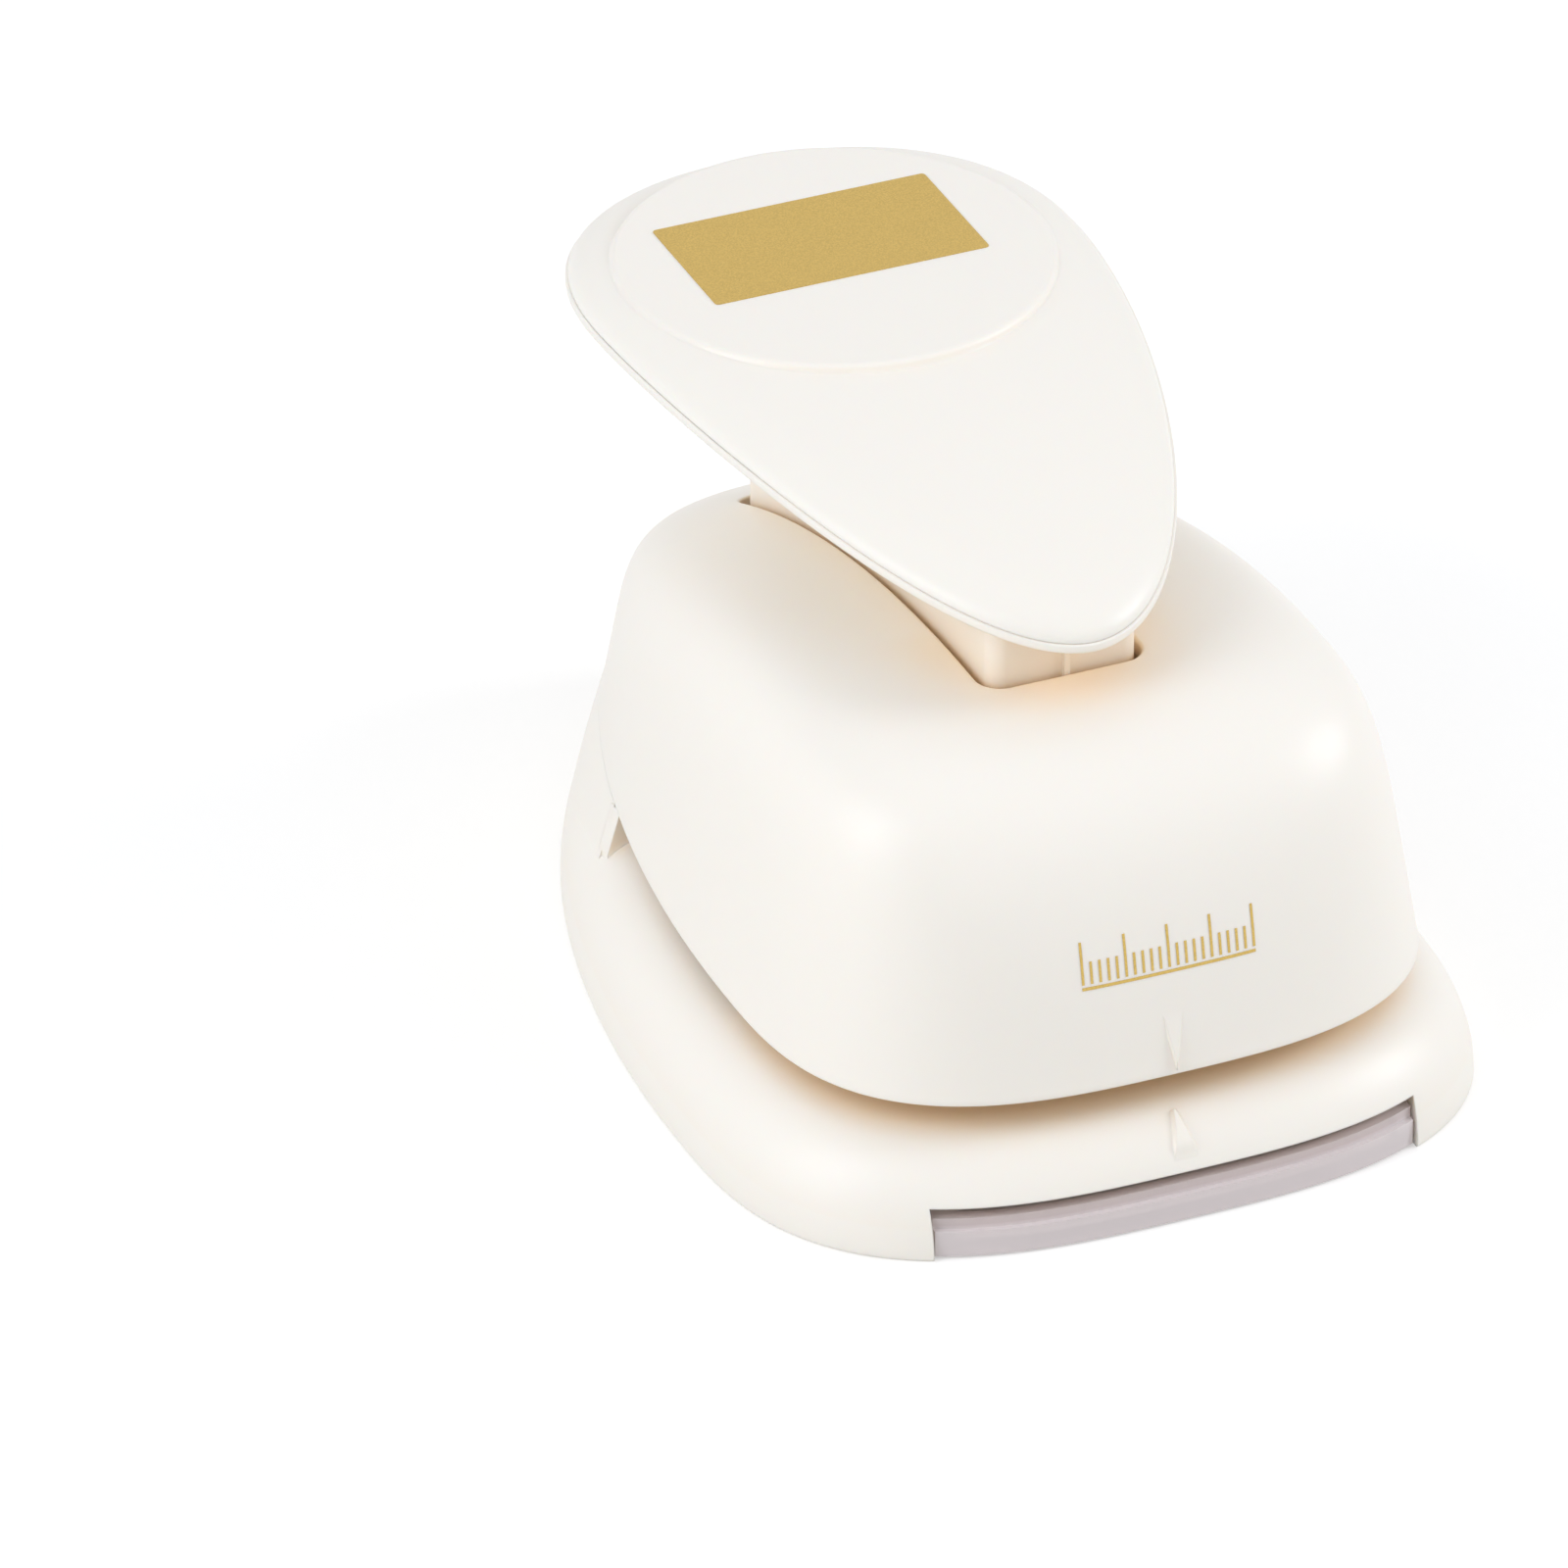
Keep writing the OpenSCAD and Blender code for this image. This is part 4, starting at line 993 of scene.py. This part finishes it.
class PUNCH_OT_tray(bpy.types.Operator):
    """Build the clear chip tray with its stepped front"""

    bl_idname = "punch.tray"
    bl_label = "Tray"

    def execute(self, context):
        top, step, front_depth, edge = TRAY_FLOOR + TRAY_H, 0.8, 12.5, 0.0003
        front_back = WIDEST_Y - BASE_FRONT + front_depth
        tray = prism("catch_tray", self.plan(TRAY_WALL, TRAY_BODY, TRAY_BACK), TRAY_FLOOR, top)
        inside = self.plan(2 * TRAY_WALL, TRAY_BODY - TRAY_WALL, TRAY_BACK - TRAY_WALL)
        # Small offsets keep faces of these from lying in one plane.
        combine(tray, "UNION",
                prism("lower front", self.plan(step, TRAY_HALF_W, front_back), TRAY_FLOOR, top - TRAY_WALL),
                prism("upper front", self.plan(TRAY_WALL, TRAY_HALF_W, front_back), TRAY_FLOOR + 0.05, top),
                prism("flanges", self.plan(TRAY_WALL, TRAY_HALF_W, TRAY_BACK - 0.02), top - TRAY_WALL,
                      top - 0.002))
        combine(tray, "DIFFERENCE", prism("tray inside", inside, TRAY_FLOOR + TRAY_WALL, top + 1))
        put(tray.modifiers.new("edges", "BEVEL"), width=edge, segments=2, limit_method="ANGLE",
            angle_limit=np.radians(40))
        settle(tray)
        finish_piece(tray, "tray", "clear_plastic", "chip_tray")
        return {"FINISHED"}

    def plan(self, inset, half_w, back):
        """Plan with straight sides and a front that follows the base's edge."""
        fine = base_point(np.linspace(np.pi, 2 * np.pi, 8001), inset)
        x = np.linspace(-half_w, half_w, 81)
        front = np.stack([x, np.interp(x, fine[:, 0], fine[:, 1])], -1)
        return np.concatenate([front, [[half_w, back], [-half_w, back]]])


class PUNCH_OT_springs(bpy.types.Operator):
    """Wind the four return springs on their guide pins"""

    bl_idname = "punch.springs"
    bl_label = "Springs"

    def execute(self, context):
        coils = solid("return_springs", [[0, 0, 0]], [])
        play = 0.1
        foot = GUIDE_TOP + WIRE / 2 + play
        run_group(coils, spring_group(), {
            "Turns": 5.5, "Coil radius": SPRING_R * MM, "Wire radius": WIRE / 2 * MM,
            "Height": (BLOCK_TOP - GUIDE_TOP - WIRE - 2 * play) * MM, "Width apart": 2 * SPRING_X * MM,
            "Depth apart": 2 * SPRING_Y * MM, "Foot": (0, 0, foot * MM)})
        finish_piece(coils, "frame", "spring_steel", *SPRINGS)
        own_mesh(coils)
        return {"FINISHED"}


class PUNCH_OT_fasteners(bpy.types.Operator):
    """Set the screws and rivets in their places"""

    bl_idname = "punch.fasteners"
    bl_label = "Fasteners"

    def execute(self, context):
        sink, spin = 0.25, 1.5
        lever = at_screws(LEVER_SCREWS, lambda x, y: (x, y, rim(y) - sink))
        housing = at_screws(HOUSING_SCREWS, lambda x, y: (x, y, CAVITY_Z))
        head = both(lambda s: (s * HEAD_SCREW_X, 0, HEAD_TOP))
        rivets = both(lambda s: (s * RIVET_X, RIVET_Y, GUIDE_TOP))
        small, large, long = self.screw(1.1, 3.8, -1), self.screw(1.5, 20.6, -1), self.screw(1.1, 11, 1)
        self.row("cover_screws", small, spin, lever, "lever", "screw_steel", "lever_screws")
        self.row("casing_screws", large, spin, housing, "frame", "screw_steel", "housing_screws")
        self.row("carrier_screws", long, spin, head, "punch", "screw_steel", "head_screws")
        self.row("die_rivets", self.rivet(2.0, 5.6), 0.0, rivets, "frame", "pin_steel", "plate_rivets")
        return {"FINISHED"}

    def row(self, name, model, spin, places, body, slot, node):
        """One piece with a copy of the fastener at each place, each turned by up to an angle."""
        obj = solid(name, places, [])
        run_group(obj, copies_group(slot), {"Fastener": model, "Turn": spin})
        drop(model)
        finish_piece(obj, body, slot, node)

    def lathe(self, name, profile):
        """Turned shape from pairs of radius and height, closed at both ends."""
        return shell(name, [raised(circle(0, 0, r, 40), z) for r, z in profile])

    def screw(self, r, length, way):
        """Pan head with a cross recess on a plain shank. The head points up, or down if way is -1."""
        head, high = 1.9 * r, 1.4
        profile = [(r - 0.3, -length), (r, -length + 0.6), (r, -0.05)]
        profile += [(head - 0.1, 0), (head, 0.1), (head, 0.5 * high)]
        for k in range(1, 7):
            profile.append((head * (1 - 0.42 * k / 6), high * (0.5 + 0.5 * np.sin(np.pi / 2 * k / 6))))
        obj = self.lathe("screw", profile)
        long, wide = 0.62 * head, 0.17 * head
        combine(obj, "DIFFERENCE", box("slot", -long, long, -wide, wide, 0.6 * high, high + 1),
                box("slot", -wide, wide, -long, long, 0.601 * high, high + 1))
        if way < 0:
            obj.data.transform(Matrix.Rotation(np.pi, 4, "X"))
        return obj

    def rivet(self, r, length):
        """Round head on a plain shank."""
        head, high = 1.9 * r, 1.4
        profile = [(r, -length), (r, -0.02), (head, 0), (head, 0.25 * high)]
        for a in np.pi / 2 * np.arange(1, 7) / 7:
            profile.append((head * np.cos(a), high * (0.25 + 0.75 * np.sin(a))))
        return self.lathe("rivet", [*profile, (0.1, high)])


class PUNCH_OT_mechanism(bpy.types.Operator):
    """Give the parts of the mechanism their materials"""

    bl_idname = "punch.mechanism"
    bl_label = "Mechanism"

    def execute(self, context):
        slots = {
            "ivory_plastic": ("throat_plate",),
            "pin_steel": ("pivot_pin", "press_pin", "guide_pins"),
            "spring_steel": ("pin_clips",),
            "plate_steel": ("die_plate", "guide_plate", "plate_spacer", "wear_plate"),
            "zinc": ("punch_block", "punch_head"),
        }
        for slot, names in slots.items():
            for name in names:
                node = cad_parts[name]
                node.data.materials.clear()
                node.data.materials.append(finish(slot))
        return {"FINISHED"}


class PUNCH_OT_stage(bpy.types.Operator):
    """Set the floor, the white surroundings, the lights and the camera"""

    bl_idname = "punch.stage"
    bl_label = "Stage"

    def execute(self, context):
        self.floor()
        self.surroundings(context.scene)
        for name, (place, size, power) in LAMPS.items():
            self.light(name, place, size, power)
        self.camera(context.scene)
        context.scene.view_settings.view_transform = "Standard"
        return {"FINISHED"}

    def floor(self):
        half = 3000.0
        plane = solid("floor", [[-half, -half, 0], [half, -half, 0], [half, half, 0], [-half, half, 0]], [[0, 1, 2, 3]])
        plane.data.materials.append(finish("floor"))

    def surroundings(self, scene):
        """Bluish light from all round, and plain white where a ray sees the background."""
        scene.world = put(bpy.data.worlds.new("white"), use_nodes=True)
        tree = scene.world.node_tree
        back = tree.nodes["Background"]
        feed(tree, back.inputs, {"Color": (*LIGHT, 1), "Strength": 0.74})
        white = add_node(tree, "ShaderNodeBackground", {"Color": (1, 1, 1, 1)})
        choice = add_node(tree, "ShaderNodeMixShader", {"Fac": seen(tree), 1: back, 2: white})
        feed(tree, tree.nodes["World Output"].inputs, {"Surface": choice})

    def light(self, name, place, size, power):
        lamp = put(bpy.data.lights.new(name, "AREA"), size=size, energy=power, color=LIGHT)
        way = Vector((0, 0, 0.04)) - Vector(place)
        obj = bpy.data.objects.new(name, lamp)
        put(obj, location=place, rotation_euler=way.to_track_quat("-Z", "Y").to_euler())
        bpy.context.scene.collection.objects.link(obj)

    def camera(self, scene):
        """Camera fitted to the photograph. Its lens and shifts are in pixels of a square picture."""
        turn, tilt, far, lens, picture, sensor = np.radians(-23.47), np.radians(31.29), 2.282, 17000.0, 1600, 36
        target, shift_x, shift_y = Vector((0, -0.0115, 0)), -208.7, 199.9
        ca, sa, ce, se = np.cos(turn), np.sin(turn), np.cos(tilt), np.sin(tilt)
        right = Vector((ca, sa, 0))
        up = Vector((-sa * se, ca * se, ce))
        back = Vector((sa * ce, -ca * ce, se))
        eye = target + back * far + right * (shift_x * far / lens) + up * (shift_y * far / lens)
        data = bpy.data.cameras.new("camera")
        put(data, sensor_width=sensor, lens=sensor * lens / picture, clip_start=0.1, clip_end=20)
        obj = bpy.data.objects.new("camera", data)
        obj.matrix_world = Matrix(((*right, 0), (*up, 0), (*back, 0), (*eye, 1))).transposed()
        scene.collection.objects.link(obj)
        scene.camera = obj


class PUNCH_PT_panel(bpy.types.Panel):
    """Sidebar panel with the pieces and their look"""

    bl_idname = "PUNCH_PT_panel"
    bl_label = "Lever craft punch"
    bl_space_type = "VIEW_3D"
    bl_region_type = "UI"
    bl_category = "Punch"

    def draw(self, context):
        for name in PunchLook.__annotations__:
            self.layout.prop(context.scene.punch_look, name)
        for operator in OPERATORS:
            self.layout.operator(operator.bl_idname)


OPERATORS = (PUNCH_OT_base, PUNCH_OT_housing, PUNCH_OT_lever, PUNCH_OT_foil, PUNCH_OT_tray, PUNCH_OT_springs,
             PUNCH_OT_fasteners, PUNCH_OT_mechanism, PUNCH_OT_stage)


def register():
    for cls in (PunchLook, *OPERATORS, PUNCH_PT_panel):
        bpy.utils.register_class(cls)
    bpy.types.Scene.punch_look = bpy.props.PointerProperty(type=PunchLook)


def unregister():
    del bpy.types.Scene.punch_look
    for cls in (PUNCH_PT_panel, *OPERATORS[::-1], PunchLook):
        bpy.utils.unregister_class(cls)


def main():
    register()
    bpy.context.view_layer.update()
    bpy.ops.punch.base()
    bpy.ops.punch.housing()
    bpy.ops.punch.lever()
    bpy.ops.punch.foil()
    bpy.ops.punch.tray()
    bpy.ops.punch.springs()
    bpy.ops.punch.fasteners()
    bpy.ops.punch.mechanism()
    bpy.ops.punch.stage()


if __name__ == "__main__":
    main()
